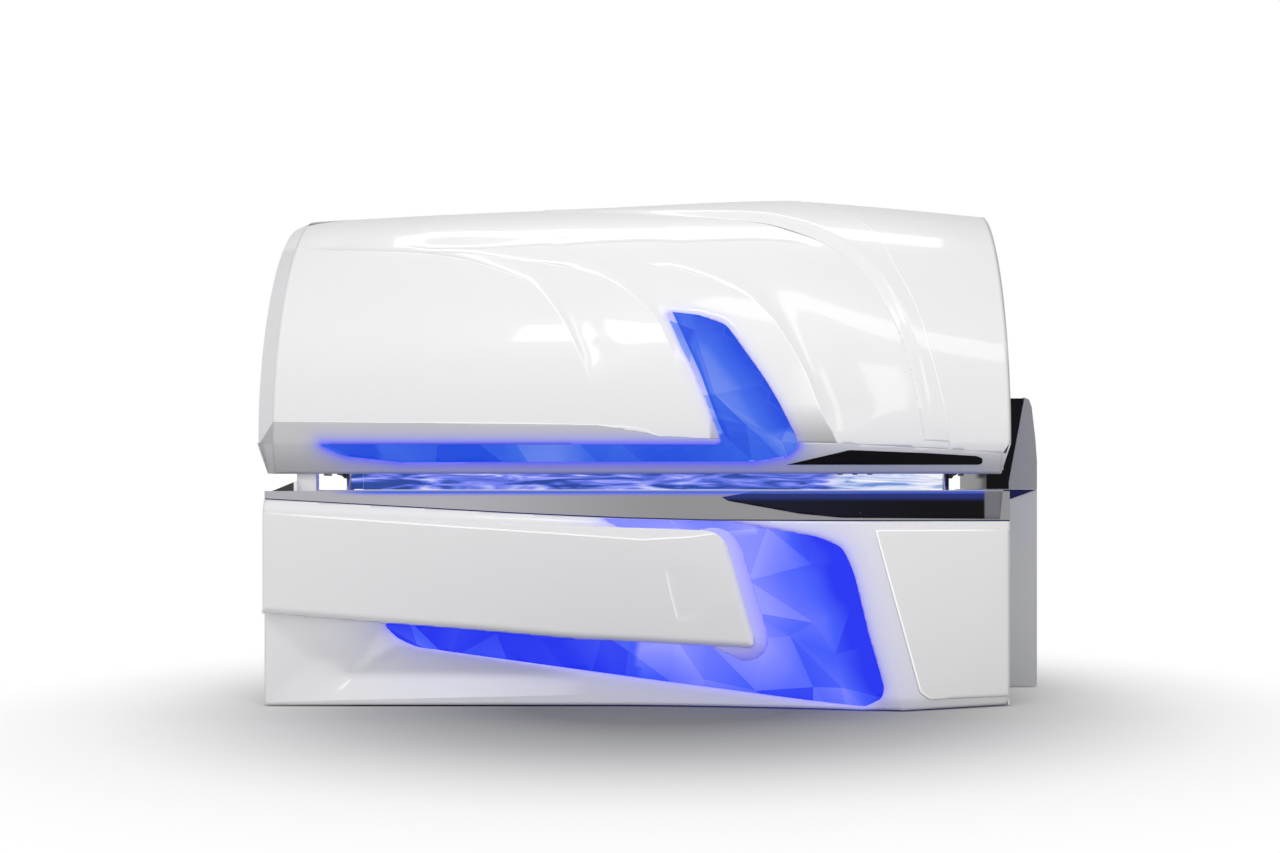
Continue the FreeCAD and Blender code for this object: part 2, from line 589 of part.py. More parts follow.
def make_bench():
    keep("bench_acrylic", arc_sheet("BenchAcrylic", "bench_z", "bench_radius", "acrylic_sheet",
                                    ("acrylic_left", "acrylic_right"), ("bench_front", "bench_rear"),
                                    ("0", "deck_height")))
    profiles = [box("EdgeProfile" + side, ("base_left + cover_sheet", "base_right - cover_sheet"), y,
                    ("deck_height - 22", "deck_height + 3"))
                for side, y in (("Front", ("bench_front - edge_profile", "bench_front")),
                                ("Rear", ("bench_rear", "bench_rear + edge_profile")))]
    keep("acrylic_edge_profiles", group("EdgeProfiles", *profiles))
    keep("base_reflector", arc_sheet("BaseReflector", "bench_z", "bench_reflector_radius", "reflector_sheet",
                                     ("lamp_left", "lamp_right"), ("bench_front", "bench_rear"),
                                     ("0", "deck_height - 22.5")))
    count = int(v.base_lamp_count)
    shape = ("base_lamp_pitch", count, "bench_z", "bench_lamp_radius", "-")
    keep("base_lamps", group("BaseLamps", *fan_of_lamps("BaseLamp", *shape, LAMP_SPAN)))
    racks = []
    for side, span in (("Foot", ("lamp_left - rack_sheet", "lamp_left")),
                       ("Head", ("lamp_right", "lamp_right + rack_sheet"))):
        board = box("BaseRack" + side, span, ("rail_front + rail_size - 3 + seat_gap", "post_rear - seat_gap"),
                    ("bench_z - bench_reflector_radius - 20", "deck_height - 22.5"))
        dip = rod("RackDip" + side, "x", "bench_radius + acrylic_sheet + seat_gap", "rack_sheet + 2",
                  f"{span[0]} - 1", "tunnel_y", "bench_z")
        racks.append(cut("BaseRackPlate" + side, board, dip))
    keep("base_lamp_racks", group("BaseRacks", *racks))


def make_base_frame():
    rails = [square_tube("Rail" + side, ("base_left + frame_inset", "base_right - frame_inset"), (y, f"{y} + rail_size"),
                         ("foot_height", "rail_top"), "x")
             for side, y in (("Front", "rail_front"), ("Rear", "rail_rear"))]
    places = ["base_left + frame_inset", "middle_x - base_length / 4", "middle_x - rail_size / 2",
              "middle_x + base_length / 4 - rail_size", "base_right - frame_inset - rail_size"]
    crosses = [square_tube(f"CrossTube{i}", (x, f"{x} + rail_size"), ("rail_front + rail_size", "rail_rear"),
                           ("foot_height", "rail_top"), "y") for i, x in enumerate(places)]
    rows = (("Front", "rail_front", "rail_top", "base_left + frame_inset", "base_right - frame_inset"),
            ("Rear", "post_rear", "pan_top", "well_left", "well_right"))
    posts, beams = [], []
    for row, y, low, left, right in rows:
        for i, x in enumerate((left, "middle_x - rail_size / 2", f"{right} - rail_size")):
            posts.append(square_tube(f"Post{row}{i}", (x, f"{x} + rail_size"), (y, f"{y} + rail_size"),
                                     (low, "beam_bottom"), "z"))
        beams.append(square_tube("Beam" + row, (left, right), (y, f"{y} + rail_size - 3"),
                                 ("beam_bottom", "under_deck"), "x"))
    keep("base_frame", group("BaseFrame", *rails, *crosses, *posts, *beams))
    pan = box("PanSheet", ("base_left + frame_inset", "base_right - frame_inset"),
              ("rail_front + rail_size", "rear_y - rail_set_back"), ("rail_top", "pan_top"))
    inlet = rod("FanInlet", "z", "fan_radius + fan_gap", "pan_sheet + 2", "fan_x", "fan_y", "rail_top - 1")
    keep("base_floor_pan", cut("FloorPan", pan, inlet))
    feet = []
    for i, x in enumerate((places[0], places[2], places[4])):
        for row, y in (("Front", "rail_front"), ("Rear", "rail_rear")):
            foot = turned(f"Foot{row}{i}", [("0", "0"), ("foot_pad_radius", "0"),
                                            ("foot_pad_radius", "foot_pad_height"),
                                            ("foot_stem_radius", "foot_pad_height + 3"),
                                            ("foot_stem_radius", "foot_height"), ("0", "foot_height")])
            feet.append(put(foot, f"{x} + rail_size / 2", f"{y} + rail_size / 2"))
    keep("levelling_feet", group("LevellingFeet", *feet))


def make_base_gear():
    """Make the ballasts, the control box and the mains gland."""
    ballasts = []
    half = int(v.ballast_count) // 2
    for i in range(2 * half):
        x = f"lamp_left + ballast_set_in + {i} * ballast_pitch + {i // half} * ballast_bay"
        ballasts.append(box(f"Ballast{i}", (x, f"{x} + ballast_width"), ("ballast_y", "ballast_y + ballast_length"),
                            ("pan_top", "pan_top + ballast_height")))
    keep("ballasts", group("Ballasts", *ballasts))
    case = [("gland_x - box_length / 2", "gland_x + box_length / 2"),
            ("rail_rear - 5 - box_depth", "rail_rear - 5"), ("pan_top", "pan_top + box_height")]
    hollow = [(f"{low} + box_wall", f"{high} - box_wall") for low, high in case]
    keep("control_box", cut("ControlBox", box("BoxCase", *case), box("BoxHollow", *hollow)))
    tube = rod("GlandTube", "y", "gland_bore + gland_wall", "gland_length", "gland_x",
               "rear_y - gland_length", "gland_height")
    flange = rod("GlandFlange", "y", "gland_bore + gland_wall + 6", "cover_sheet", "gland_x",
                 "rear_y - cover_sheet * 2 - 0.2", "gland_height")
    bore = rod("GlandBore", "y", "gland_bore", "gland_length + 2", "gland_x",
               "rear_y - gland_length - 1", "gland_height")
    keep("mains_gland", cut("MainsGland", join("GlandBody", tube, flange), bore))


def make_fan(place, node, x, y, z):
    """Make an axial fan: a square frame with its motor stub, the spinning rotor and a wire guard."""
    frame = box(place + "Square", (f"{x} - fan_size / 2", f"{x} + fan_size / 2"),
                (f"{y} - fan_size / 2", f"{y} + fan_size / 2"), (z, f"{z} + fan_height"))
    throat = rod(place + "Throat", "z", "fan_radius + fan_gap", "fan_height + 2", x, y, f"{z} - 1")
    arms = [box(f"{place}Strut{i}", *spans, (z, f"{z} + 6")) for i, spans in enumerate((
        ((f"{x} - fan_radius - fan_gap - 2", f"{x} + fan_radius + fan_gap + 2"), (f"{y} - 6", f"{y} + 6")),
        ((f"{x} - 6", f"{x} + 6"), (f"{y} - fan_radius - fan_gap - 2", f"{y} + fan_radius + fan_gap + 2"))))]
    spindle = rod(place + "Spindle", "z", "spindle_radius", "fan_height - 16", x, y, z)
    housing = join(place + "Housing", cut(place + "Frame", frame, throat), *arms, spindle)
    hub = rod(place + "Hub", "z", "fan_hub", "fan_height - 24", x, y, f"{z} + 12")
    bore = rod(place + "HubBore", "z", "spindle_radius + running_gap", "fan_height", x, y, z)
    blades = []
    for i in range(int(v.blade_count)):
        blade = box(f"{place}Blade{i}", ("fan_hub - 2", "fan_radius"), ("-16", "16"), ("0", "blade_sheet"))
        turn = FreeCAD.Rotation(V(0, 0, 1), 360 * i / int(v.blade_count))
        pitch = FreeCAD.Rotation(V(1, 0, 0), v.blade_pitch)
        blade.setExpression("Placement.Base.x", None)
        blade.setExpression("Placement.Base.y", None)
        blade.setExpression("Placement.Base.z", None)
        reach = (turn * pitch).multVec(V(v.fan_hub - 2, -16, 0))
        blade.Placement = FreeCAD.Placement(reach, turn * pitch)
        ring = doc.addObject("Part::Compound", f"{place}BladePlace{i}")
        ring.Links = [blade]
        blades.append(put(ring, x, y, f"{z} + fan_height / 2"))
    keep(node + "_rotor", cut(place + "Rotor", join(place + "Wheel", hub, *blades), bore))
    rings = [cut(f"{place}Ring{i}", rod(f"{place}RingOut{i}", "z", f"{radius} + 2", "2", x, y, f"{z} + fan_height"),
                 rod(f"{place}RingIn{i}", "z", radius, "4", x, y, f"{z} + fan_height - 1"))
             for i, radius in enumerate(("fan_radius * 0.3", "fan_radius * 0.6", "fan_radius * 0.9"))]
    bars = [box(f"{place}Bar{i}", *spans, (f"{z} + fan_height", f"{z} + fan_height + 2")) for i, spans in enumerate((
        ((f"{x} - fan_size / 2 + 4", f"{x} + fan_size / 2 - 4"), (f"{y} - 1.5", f"{y} + 1.5")),
        ((f"{x} - 1.5", f"{x} + 1.5"), (f"{y} - fan_size / 2 + 4", f"{y} + fan_size / 2 - 4"))))]
    keep(node + "_housing", group(place + "Case", housing, join(place + "Guard", *rings, *bars)))


# ---------------------------------------------------------------- rear pillar

def make_pillar():
    """Make the square lower part, the grey fin, its black cheek and the wedge on the seam."""
    front = "front_y + pillar_set_back"
    left = "base_right + pillar_gap"
    outer = box("PillarOuter", (left, "pillar_right"), (front, "rear_y - 10"), ("skirting_gap", "pillar_seam"))
    inner = box("PillarInner", (f"{left} + cover_sheet", "pillar_right - cover_sheet"),
                (f"{front} + cover_sheet", "rear_y - 10 - cover_sheet"), ("0", "pillar_seam - cover_sheet"))
    keep("pillar_lower", cut("PillarLower", outer, inner))
    seam = "pillar_seam + 0.3"
    rise = "(pillar_top - pillar_seam)"
    foot = "canopy_right + pillar_clearance"
    fin = [("pillar_right - 90", seam), ("pillar_right", seam), ("pillar_right", f"pillar_seam + {rise} * 0.31"),
           ("pillar_right - 5", f"pillar_seam + {rise} * 0.55"), ("pillar_right - 17", f"pillar_top - {rise} * 0.1"),
           ("pillar_right - 26", f"pillar_top - {rise} * 0.02"), ("pillar_right - 40", "pillar_top"),
           ("pillar_right - 90", f"pillar_seam + {rise} * 0.08")]
    depth = f"rear_y - 40 - ({front})"
    keep("pillar_upper", plate("PillarUpper", "XZ_Plane", fin, depth, y="rear_y - 40"))
    cheek = [(foot, seam), ("pillar_right - 91", seam), ("pillar_right - 91", f"pillar_seam + {rise} * 0.082"),
             ("pillar_right - 41.5", "pillar_top - 2"), (f"{foot} + 40", "pillar_top - 2"),
             (foot, f"pillar_top - {rise} * 0.4")]
    cheek = plate("PillarCheek", "XZ_Plane", cheek, f"{depth} - 24", y="rear_y - 52")
    wedge = [(foot, "pillar_seam - 2"), ("pillar_right - 3", "pillar_seam - 2"), (foot, "pillar_seam - 58")]
    wedge = plate("PillarWedge", "XZ_Plane", wedge, "trim_sheet", y=f"{front} - 0.2")
    keep("pillar_black_trims", group("PillarTrims", cheek, wedge))


# ---------------------------------------------------------------- canopy

def ridge(x):
    """Height of the canopy's top line, highest part way to the head end."""
    peak = v.canopy_left + v.ridge_from_foot
    if x < peak:
        return v.ridge_height - v.foot_drop * ((peak - x) / v.ridge_from_foot) ** 2
    return v.ridge_height - v.head_drop * ((x - peak) / (v.canopy_right - peak)) ** 2


def profile(x, inset, bottom=None, rear_bottom=None):
    """Give the canopy's outer line at one station, moved in by an inset, from front to rear."""
    power = 2 / v.profile_power
    steps = 8
    bottom = v.canopy_bottom if bottom is None else bottom
    rear_bottom = v.rear_cover_bottom if rear_bottom is None else rear_bottom
    top = ridge(x) - inset
    front = v.front_y + inset
    rear = v.canopy_rear - inset
    turns = [math.pi / 2 * i / steps for i in range(steps + 1)]
    rising = [V(x, v.apex_y - (v.apex_y - front) * math.cos(a) ** power,
                v.shoulder_height + (top - v.shoulder_height) * math.sin(a) ** power) for a in turns]
    falling = [V(x, v.apex_y + (rear - v.apex_y) * math.cos(a) ** power,
                 v.shoulder_height + (top - v.shoulder_height) * math.sin(a) ** power) for a in turns]
    curve = Part.BSplineCurve()
    curve.interpolate(rising + falling[-2::-1])
    taper = v.skirt_taper * (v.widest_z - bottom) / v.skirt_height
    low = V(x, front + taper, bottom)
    wide = V(x, front, v.widest_z)
    end = V(x, rear, rear_bottom)
    return low, wide, rising[0], curve, falling[0], end


def band_section(x, near, far):
    """Close the strip between two insets of the profile at one station."""
    outer = profile(x, near)
    inner = profile(x, far)
    edges = []
    for low, wide, shoulder, curve, back, end in (outer, inner):
        edges += [Part.LineSegment(low, wide).toShape(), Part.LineSegment(wide, shoulder).toShape(),
                  curve.toShape(), Part.LineSegment(back, end).toShape()]
    edges += [Part.LineSegment(outer[0], inner[0]).toShape(), Part.LineSegment(outer[5], inner[5]).toShape()]
    return Part.Wire(Part.__sortEdges__(edges))


def stations(left, right, count=7):
    return [left + (right - left) * i / (count - 1) for i in range(count)]


def canopy_band(near, far, left, right):
    """Fill the space between two insets along the canopy."""
    return Part.makeLoft([band_section(x, near, far) for x in stations(left, right)], True, False)


def arch_band():
    """Fill the raised ribbon's height, tallest where it crosses the ridge."""
    first = v.canopy_left + 0.30 * v.canopy_length
    last = v.canopy_left + 0.95 * v.canopy_length
    sections = []
    for x in stations(first, last, 9):
        share = (x - first) / (last - first)
        rise = v.arch_rise * math.sin(math.pi * min(1, 0.04 + share * 1.12)) ** 0.8 + 1.5
        sections.append(band_section(x, -rise, -v.trim_gap))
    return Part.makeLoft(sections, True, True)


def cover_outline():
    """Close the area of the front above the white covers' lower edge."""
    edge = on_canopy([(x, z, 0) for x, z in COVER_EDGE])
    top = 2 * v.ridge_height
    low = edge[-1][1]
    corner = v.cover_right - v.skirt_taper * 0.7 * (v.widest_z - low) / v.skirt_height
    inside = [point for point in edge if point[0] < corner]
    return inside + [(corner, low, 0), (v.cover_right, v.widest_z, 0), (v.cover_right + 5, v.widest_z + 1, 0),
                     (v.cover_right + 5, top, 0), (inside[0][0], top, 0)]


def skirt_outline():
    """Close the area of the front below the white covers, drawn in at both ends of its taper."""
    edge = on_canopy([(x, z, 0) for x, z in COVER_EDGE])
    edge = [(x, z - 0.5, 0) for x, z, _ in edge]
    draw_in = v.skirt_taper * 0.7
    low = edge[-1][1]
    corner = v.cover_right - draw_in * (v.widest_z - low) / v.skirt_height
    inside = [point for point in edge if point[0] < corner]
    return inside + [(corner, low, 0), (v.cover_right - draw_in, v.canopy_bottom, 0),
                     (inside[0][0], v.canopy_bottom, 0)]


def seam_block(front=True):
    """Fill the space ahead of or behind the top seam, which runs diagonally at the foot end."""
    left, right = v.canopy_left - v.bevel_width, v.canopy_right + v.bevel_width
    far = -v.overall_depth if front else v.overall_depth
    gap = 0 if front else v.panel_gap
    points = [V(left, v.apex_y - v.seam_depth + gap, 0), V(v.cover_left + v.seam_length, v.apex_y + gap, 0),
              V(right, v.apex_y + gap, 0), V(right, far, 0), V(left, far, 0)]
    return Part.Face(Part.makePolygon(points + points[:1])).extrude(V(0, 0, 2 * v.ridge_height))


def make_canopy_covers():
    band = canopy_band(0, v.cover_sheet, v.cover_left, v.cover_right)
    whole_front = band.common(seam_block()).common(prism(cover_outline(), far=v.apex_y + 1))
    head = whole_front.common(prism(on_canopy(HEAD_COVER), far=v.apex_y + 1))
    front = whole_front.cut(prism(on_canopy(HEAD_COVER), grow=v.panel_gap, far=v.apex_y + 1))
    front = front.cut(prism(on_canopy(CANOPY_LENS), far=0))
    keep("canopy_front_cover", solid("CanopyFrontCover", front))
    keep("canopy_head_cover", solid("CanopyHeadCover", head))
    rear = band.common(seam_block(front=False))
    rear = rear.cut(Part.makeBox(2 * v.overall_length, v.overall_depth, v.widest_z,
                                 V(-v.overall_length, v.apex_y - v.overall_depth, 0)))
    keep("canopy_rear_cover", solid("CanopyRearCover", rear))
    arch = arch_band().common(prism(on_canopy(ARCH), far=v.apex_y - v.panel_gap))
    keep("canopy_arch", solid("CanopyArch", arch))


def make_canopy_lens():
    near = v.lens_near
    lens = canopy_band(near, near + v.lens_sheet, v.cover_left + 30, v.cover_right - 30)
    lens = lens.common(prism(on_canopy(CANOPY_LENS), grow=v.lens_overlap, far=0))
    keep("canopy_lens", solid("CanopyLens", lens))
    board = canopy_band(v.board_near, v.board_near + v.pan_sheet, v.cover_left + 30, v.cover_right - 30)
    keep("canopy_light_board", solid("CanopyLightBoard", board.common(prism(on_canopy(CANOPY_LENS), far=0))))
    plate_band = canopy_band(-v.trim_sheet, -v.trim_gap, v.cover_left + 30, v.cover_right - 5)
    keep("canopy_trim_plate", solid("TrimPlate", plate_band.common(prism(on_canopy(TRIM_PLATE), far=0))))


def side_return(x, inward):
    """Make one end of the skirt, tapered in towards the bottom and open at the rear."""
    draw_in = v.skirt_taper * 0.7 * inward
    front_top = v.front_y + 0.5
    front_low = v.front_y + v.skirt_taper + 0.5
    rear = v.hinge_y - v.hinge_room
    wires = []
    for z, shift, front in ((v.canopy_bottom, draw_in, front_low), (v.widest_z, 0, front_top)):
        a, b = x + shift, x + shift + v.cover_sheet * inward
        points = [V(a, front, z), V(b, front, z), V(b, rear, z), V(a, rear, z)]
        wires.append(Part.makePolygon(points + points[:1]))
    return Part.makeLoft(wires, True, True)


def make_skirt():
    band = canopy_band(0, v.cover_sheet, v.cover_left, v.cover_right)
    front = band.common(prism(skirt_outline(), far=0)).cut(prism(on_canopy(CANOPY_LENS), far=0))
    width = v.skirt_taper + v.cover_sheet
    ends = [side_return(v.canopy_left, 1).cut(mouth(v.canopy_left - 1, width)),
            side_return(v.canopy_right, -1).cut(mouth(v.canopy_right - width + 1, width))]
    skirt = front.fuse([corner_strip()] + ends).removeSplitter()
    keep("canopy_skirt", solid("CanopySkirt", skirt))


def corner_strip():
    """Join the skirt's front to its foot-end return."""
    draw_in = v.skirt_taper * 0.7
    wires = []
    for z, shift, taper in ((v.canopy_bottom, draw_in, v.skirt_taper), (v.widest_z, 0, 0)):
        y = v.front_y + taper
        points = [V(v.canopy_left + shift, y + v.bevel_depth * (1 - shift / draw_in), z),
                  V(v.cover_left + 1, y, z), V(v.cover_left + 1, y + v.cover_sheet, z),
                  V(v.canopy_left + shift, y + v.cover_sheet + v.bevel_depth * (1 - shift / draw_in), z)]
        wires.append(Part.makePolygon(points + points[:1]))
    return Part.makeLoft(wires, True, True)


def tunnel_arch(x, thick, clearance):
    """Fill the round tunnel and the space below it, for cutting out of an upright sheet."""
    radius = v.tunnel_reflector_radius + v.reflector_sheet + clearance
    ring = Part.makeCylinder(radius, thick, V(x, v.tunnel_y, v.tunnel_z), V(1, 0, 0))
    below = Part.makeBox(thick, 2 * radius, v.tunnel_z, V(x, v.tunnel_y - radius, 0))
    return ring.fuse(below)


def upright_sheet(x, thick, inset, bottom, rear_bottom):
    """Fill the canopy's section at one station, one sheet thick."""
    low, wide, shoulder, curve, back, end = profile(x, inset, bottom, rear_bottom)
    heel = V(x, end.y - v.rib_lift, end.z)
    inner = V(x, v.hinge_y - v.hinge_room, bottom)
    toe = V(x, low.y, bottom)
    edges = [curve.toShape(), Part.LineSegment(back, end).toShape(), Part.LineSegment(end, heel).toShape(),
             Part.LineSegment(heel, inner).toShape(), Part.LineSegment(inner, toe).toShape(),
             Part.LineSegment(toe, shoulder).toShape()]
    return Part.Face(Part.Wire(Part.__sortEdges__(edges))).extrude(V(thick, 0, 0))


def make_canopy_ends():
    """Make the end caps: an upright sheet with the tunnel's mouth, and a bevel round the foot end."""
    bottom = v.widest_z + 0.3
    sheet = upright_sheet(v.canopy_left, v.end_sheet, v.bevel_depth, bottom, bottom + 30)
    sheet = sheet.cut(mouth(v.canopy_left - 1, v.end_sheet + 2))
    outer, inner = [], []
    for x, inset in ((v.canopy_left, v.bevel_depth), (v.cover_left, 0)):
        outer.append(bevel_wire(x, inset, bottom))
        inner.append(bevel_wire(x, inset + v.end_sheet, bottom))
    bevel = Part.makeLoft(outer, True, True).cut(Part.makeLoft(inner, True, True))
    keep("canopy_end_left", solid("CanopyEndLeft", sheet.fuse(bevel).removeSplitter()))
    sheet = upright_sheet(v.cover_right + 0.2, v.end_sheet - 0.2, 0.5, bottom, bottom + 30)
    sheet = sheet.cut(mouth(v.cover_right - 1, v.end_sheet + 2))
    keep("canopy_end_right", solid("CanopyEndRight", sheet))


def mouth(x, thick):
    """Fill the tunnel's open mouth inside the acrylic."""
    ring = Part.makeCylinder(v.tunnel_radius + v.acrylic_sheet + 1, thick, V(x, v.tunnel_y, v.tunnel_z), V(1, 0, 0))
    below = Part.makeBox(thick, 2 * (v.tunnel_radius + 9), v.tunnel_z, V(x, v.tunnel_y - v.tunnel_radius - 9, 0))
    return ring.fuse(below)


def bevel_wire(x, inset, bottom):
    low, wide, shoulder, curve, back, end = profile(x, inset, bottom, bottom + 30)
    points = [curve.toShape(), Part.LineSegment(back, end).toShape(),
              Part.LineSegment(end, V(x, end.y, bottom)).toShape(),
              Part.LineSegment(V(x, end.y, bottom), V(x, wide.y, bottom)).toShape(),
              Part.LineSegment(V(x, wide.y, bottom), shoulder).toShape()]
    return Part.Wire(Part.__sortEdges__(points))


def make_canopy_frame():
    """Make four arched ribs and the long tubes that tie them."""
    stations_x = [v.rib_left, v.middle_x - v.base_length / 6, v.middle_x + v.base_length / 6,
                  v.rib_right - v.rib_sheet]
    ribs = []
    for x in stations_x:
        inset = v.lens_near + v.rib_seat if x in (stations_x[0], stations_x[-1]) else v.rib_inset
        rib = upright_sheet(x, v.rib_sheet, inset, v.shoulder_height - v.rib_lift,
                            v.shoulder_height - v.rib_lift / 2)
        ribs.append(rib.cut(tunnel_arch(x - 1, v.rib_sheet + 2, 6)))
    tubes = []
    for start, y, z in ((v.rib_left + 1, v.front_y + v.rib_inset + 12, v.shoulder_height + 4),
                        (v.arm_left + v.arm_sheet, v.hinge_y - 20, v.shoulder_height + 40),
                        (v.rib_left + 1, v.tunnel_y - v.rib_tube / 2, v.roof_tube_z)):
        length = 2 * (v.middle_x - start)
        tubes.append(Part.makeBox(length, v.rib_tube, v.rib_tube, V(start, y, z)))
    keep("canopy_frame", solid("CanopyFrame", ribs[0].fuse(ribs[1:] + tubes).removeSplitter()))


def make_tunnel():
    keep("canopy_acrylic", arc_sheet("CanopyAcrylic", "tunnel_z", "tunnel_radius", "acrylic_sheet",
                                     ("acrylic_left", "acrylic_right"), ("-overall_depth", "overall_depth"),
                                     ("edge_z", "ridge_height")))
    mouldings = [arc_sheet("Mouth" + side, "tunnel_z", "tunnel_radius", "acrylic_sheet", span,
                           ("-overall_depth", "overall_depth"), ("edge_z", "ridge_height"))
                 for side, span in (("Foot", ("canopy_left + end_sheet", "acrylic_left - 0.5")),
                                    ("Head", ("acrylic_right + 0.5", "cover_right")))]
    keep("tunnel_end_mouldings", group("TunnelMouldings", *mouldings))
    reflector = arc_sheet("TunnelReflector", "tunnel_z", "tunnel_reflector_radius", "reflector_sheet",
                          ("lamp_left", "lamp_right"), ("-overall_depth", "overall_depth"),
                          ("edge_z", "ridge_height"))
    keep("canopy_reflector", reflector)
    count = int(v.canopy_lamp_count)
    short = [count // 2 - 2, count // 2 - 1, count // 2, count // 2 + 1]
    others = [i for i in range(count) if i not in short]
    shape = ("canopy_lamp_pitch", count, "tunnel_z", "tunnel_lamp_radius", "+")
    lamps = fan_of_lamps("Lamp", *shape, LAMP_SPAN, short)
    lamps += fan_of_lamps("ShortLamp", *shape, SHORT_SPAN, others)
    keep("canopy_lamps", group("CanopyLamps", *lamps))
    racks = [arc_sheet("Rack" + side, "tunnel_z", "tunnel_radius + acrylic_sheet + seat_gap",
                       "lamp_clearance + lamp_radius * 2 + reflector_clearance + reflector_sheet - seat_gap", span,
                       ("-overall_depth", "overall_depth"), ("edge_z", "ridge_height"))
             for side, span in (("Foot", ("lamp_left - rack_sheet", "lamp_left")),
                                ("Head", ("lamp_right", "lamp_right + rack_sheet")))]
    keep("canopy_lamp_racks", group("CanopyRacks", *racks))


def make_facial():
    """Make three high-pressure lamp units in the tunnel's crown, each behind a filter glass."""
    glasses, units = [], []
    for i in range(3):
        left = f"facial_left + {i} * facial_length / 3"
        right = f"{left} + facial_length / 3 - 12"
        spans = ((left, right), ("tunnel_y - facial_width / 2", "tunnel_y + facial_width / 2"),
                 ("tunnel_z + tunnel_radius * 0.9", "ridge_height"))
        glasses.append(arc_sheet(f"FilterGlass{i}", "tunnel_z", "tunnel_radius + acrylic_sheet + 8", "4", *spans))
        units.append(arc_sheet(f"FacialUnit{i}", "tunnel_z", "tunnel_radius + acrylic_sheet + 12 + seat_gap",
                               "tunnel_reflector_radius - tunnel_radius - acrylic_sheet - 12 - seat_gap * 2", *spans))
    keep("facial_lamp_units", group("FacialUnits", *units, *glasses))


def make_canopy_rails():
    """Make the rails under the tunnel's edges; the rear one hangs an apron behind the lying surface."""
    sheet = box("FrontRailSheet", ("rib_left", "rib_right"), ("rail_y", "rail_end_y"),
                ("canopy_bottom + 4", "canopy_bottom + 8"))
    window = box("PanelWindow", ("panel_x - panel_length / 2", "panel_x + panel_length / 2"),
                 ("panel_y - panel_width / 2", "panel_y + panel_width / 2"), ("canopy_bottom", "canopy_bottom + 20"))
    ends = ("well_left", "well_right")
    rear = box("RearRailSheet", ends, ("rear_rail_y + seat_gap", "hinge_y + hinge_room"),
               ("rear_rail_z", "rear_rail_z + deck_sheet"))
    front_of_apron = "rear_rail_y + apron_set_back"
    apron = box("RearApron", ends, (front_of_apron, f"{front_of_apron} + deck_sheet"),
                ("deck_height + apron_clearance", "rear_rail_z + deck_sheet"))
    keep("canopy_edge_rails", group("EdgeRails", cut("FrontRail", sheet, window), join("RearRail", rear, apron)))


def make_control_panel():
    """Make the hollow panel in the front rail and its push buttons."""
    x = ("panel_x - panel_length / 2", "panel_x + panel_length / 2")
    y = ("panel_y - panel_width / 2", "panel_y + panel_width / 2")
    shell = box("PanelBlock", x, y, ("canopy_bottom", "canopy_bottom + panel_height"))
    hollow = box("PanelHollow", (f"{x[0]} + panel_wall", f"{x[1]} - panel_wall"),
                 (f"{y[0]} + panel_wall", f"{y[1]} - panel_wall"),
                 ("canopy_bottom + panel_wall", "canopy_bottom + panel_height - panel_wall"))
    bores = [rod(f"ButtonBore{i}", "z", "button_radius + 0.3", "panel_wall + 2",
                 f"panel_x + ({i} - 1) * button_pitch", "panel_y", "canopy_bottom - 1") for i in range(3)]
    keep("control_panel", cut("ControlPanel", cut("PanelCase", shell, hollow), join("ButtonBores", *bores)))
    for i, name in enumerate(("start", "face", "air")):
        button = turned(f"Button{i}", [
            ("0", "-button_stand"), ("button_radius - 1", "-button_stand"), ("button_radius", "1 - button_stand"),
            ("button_radius", "panel_wall + 0.3"), ("button_radius + 2", "panel_wall + 0.3"),
            ("button_radius + 2", "panel_wall + 2.3"), ("0", "panel_wall + 2.3")])
        put(button, f"panel_x + ({i} - 1) * button_pitch", "panel_y", "canopy_bottom")
        keep("button_" + name, button)


# ---------------------------------------------------------------- hinge and gas springs

def mirrored(left, thickness, side):
    """Place a part of one thickness at the foot end, or at the same distance in from the head end."""
    return left if side == "left" else f"base_left + base_right - ({left}) - ({thickness})"


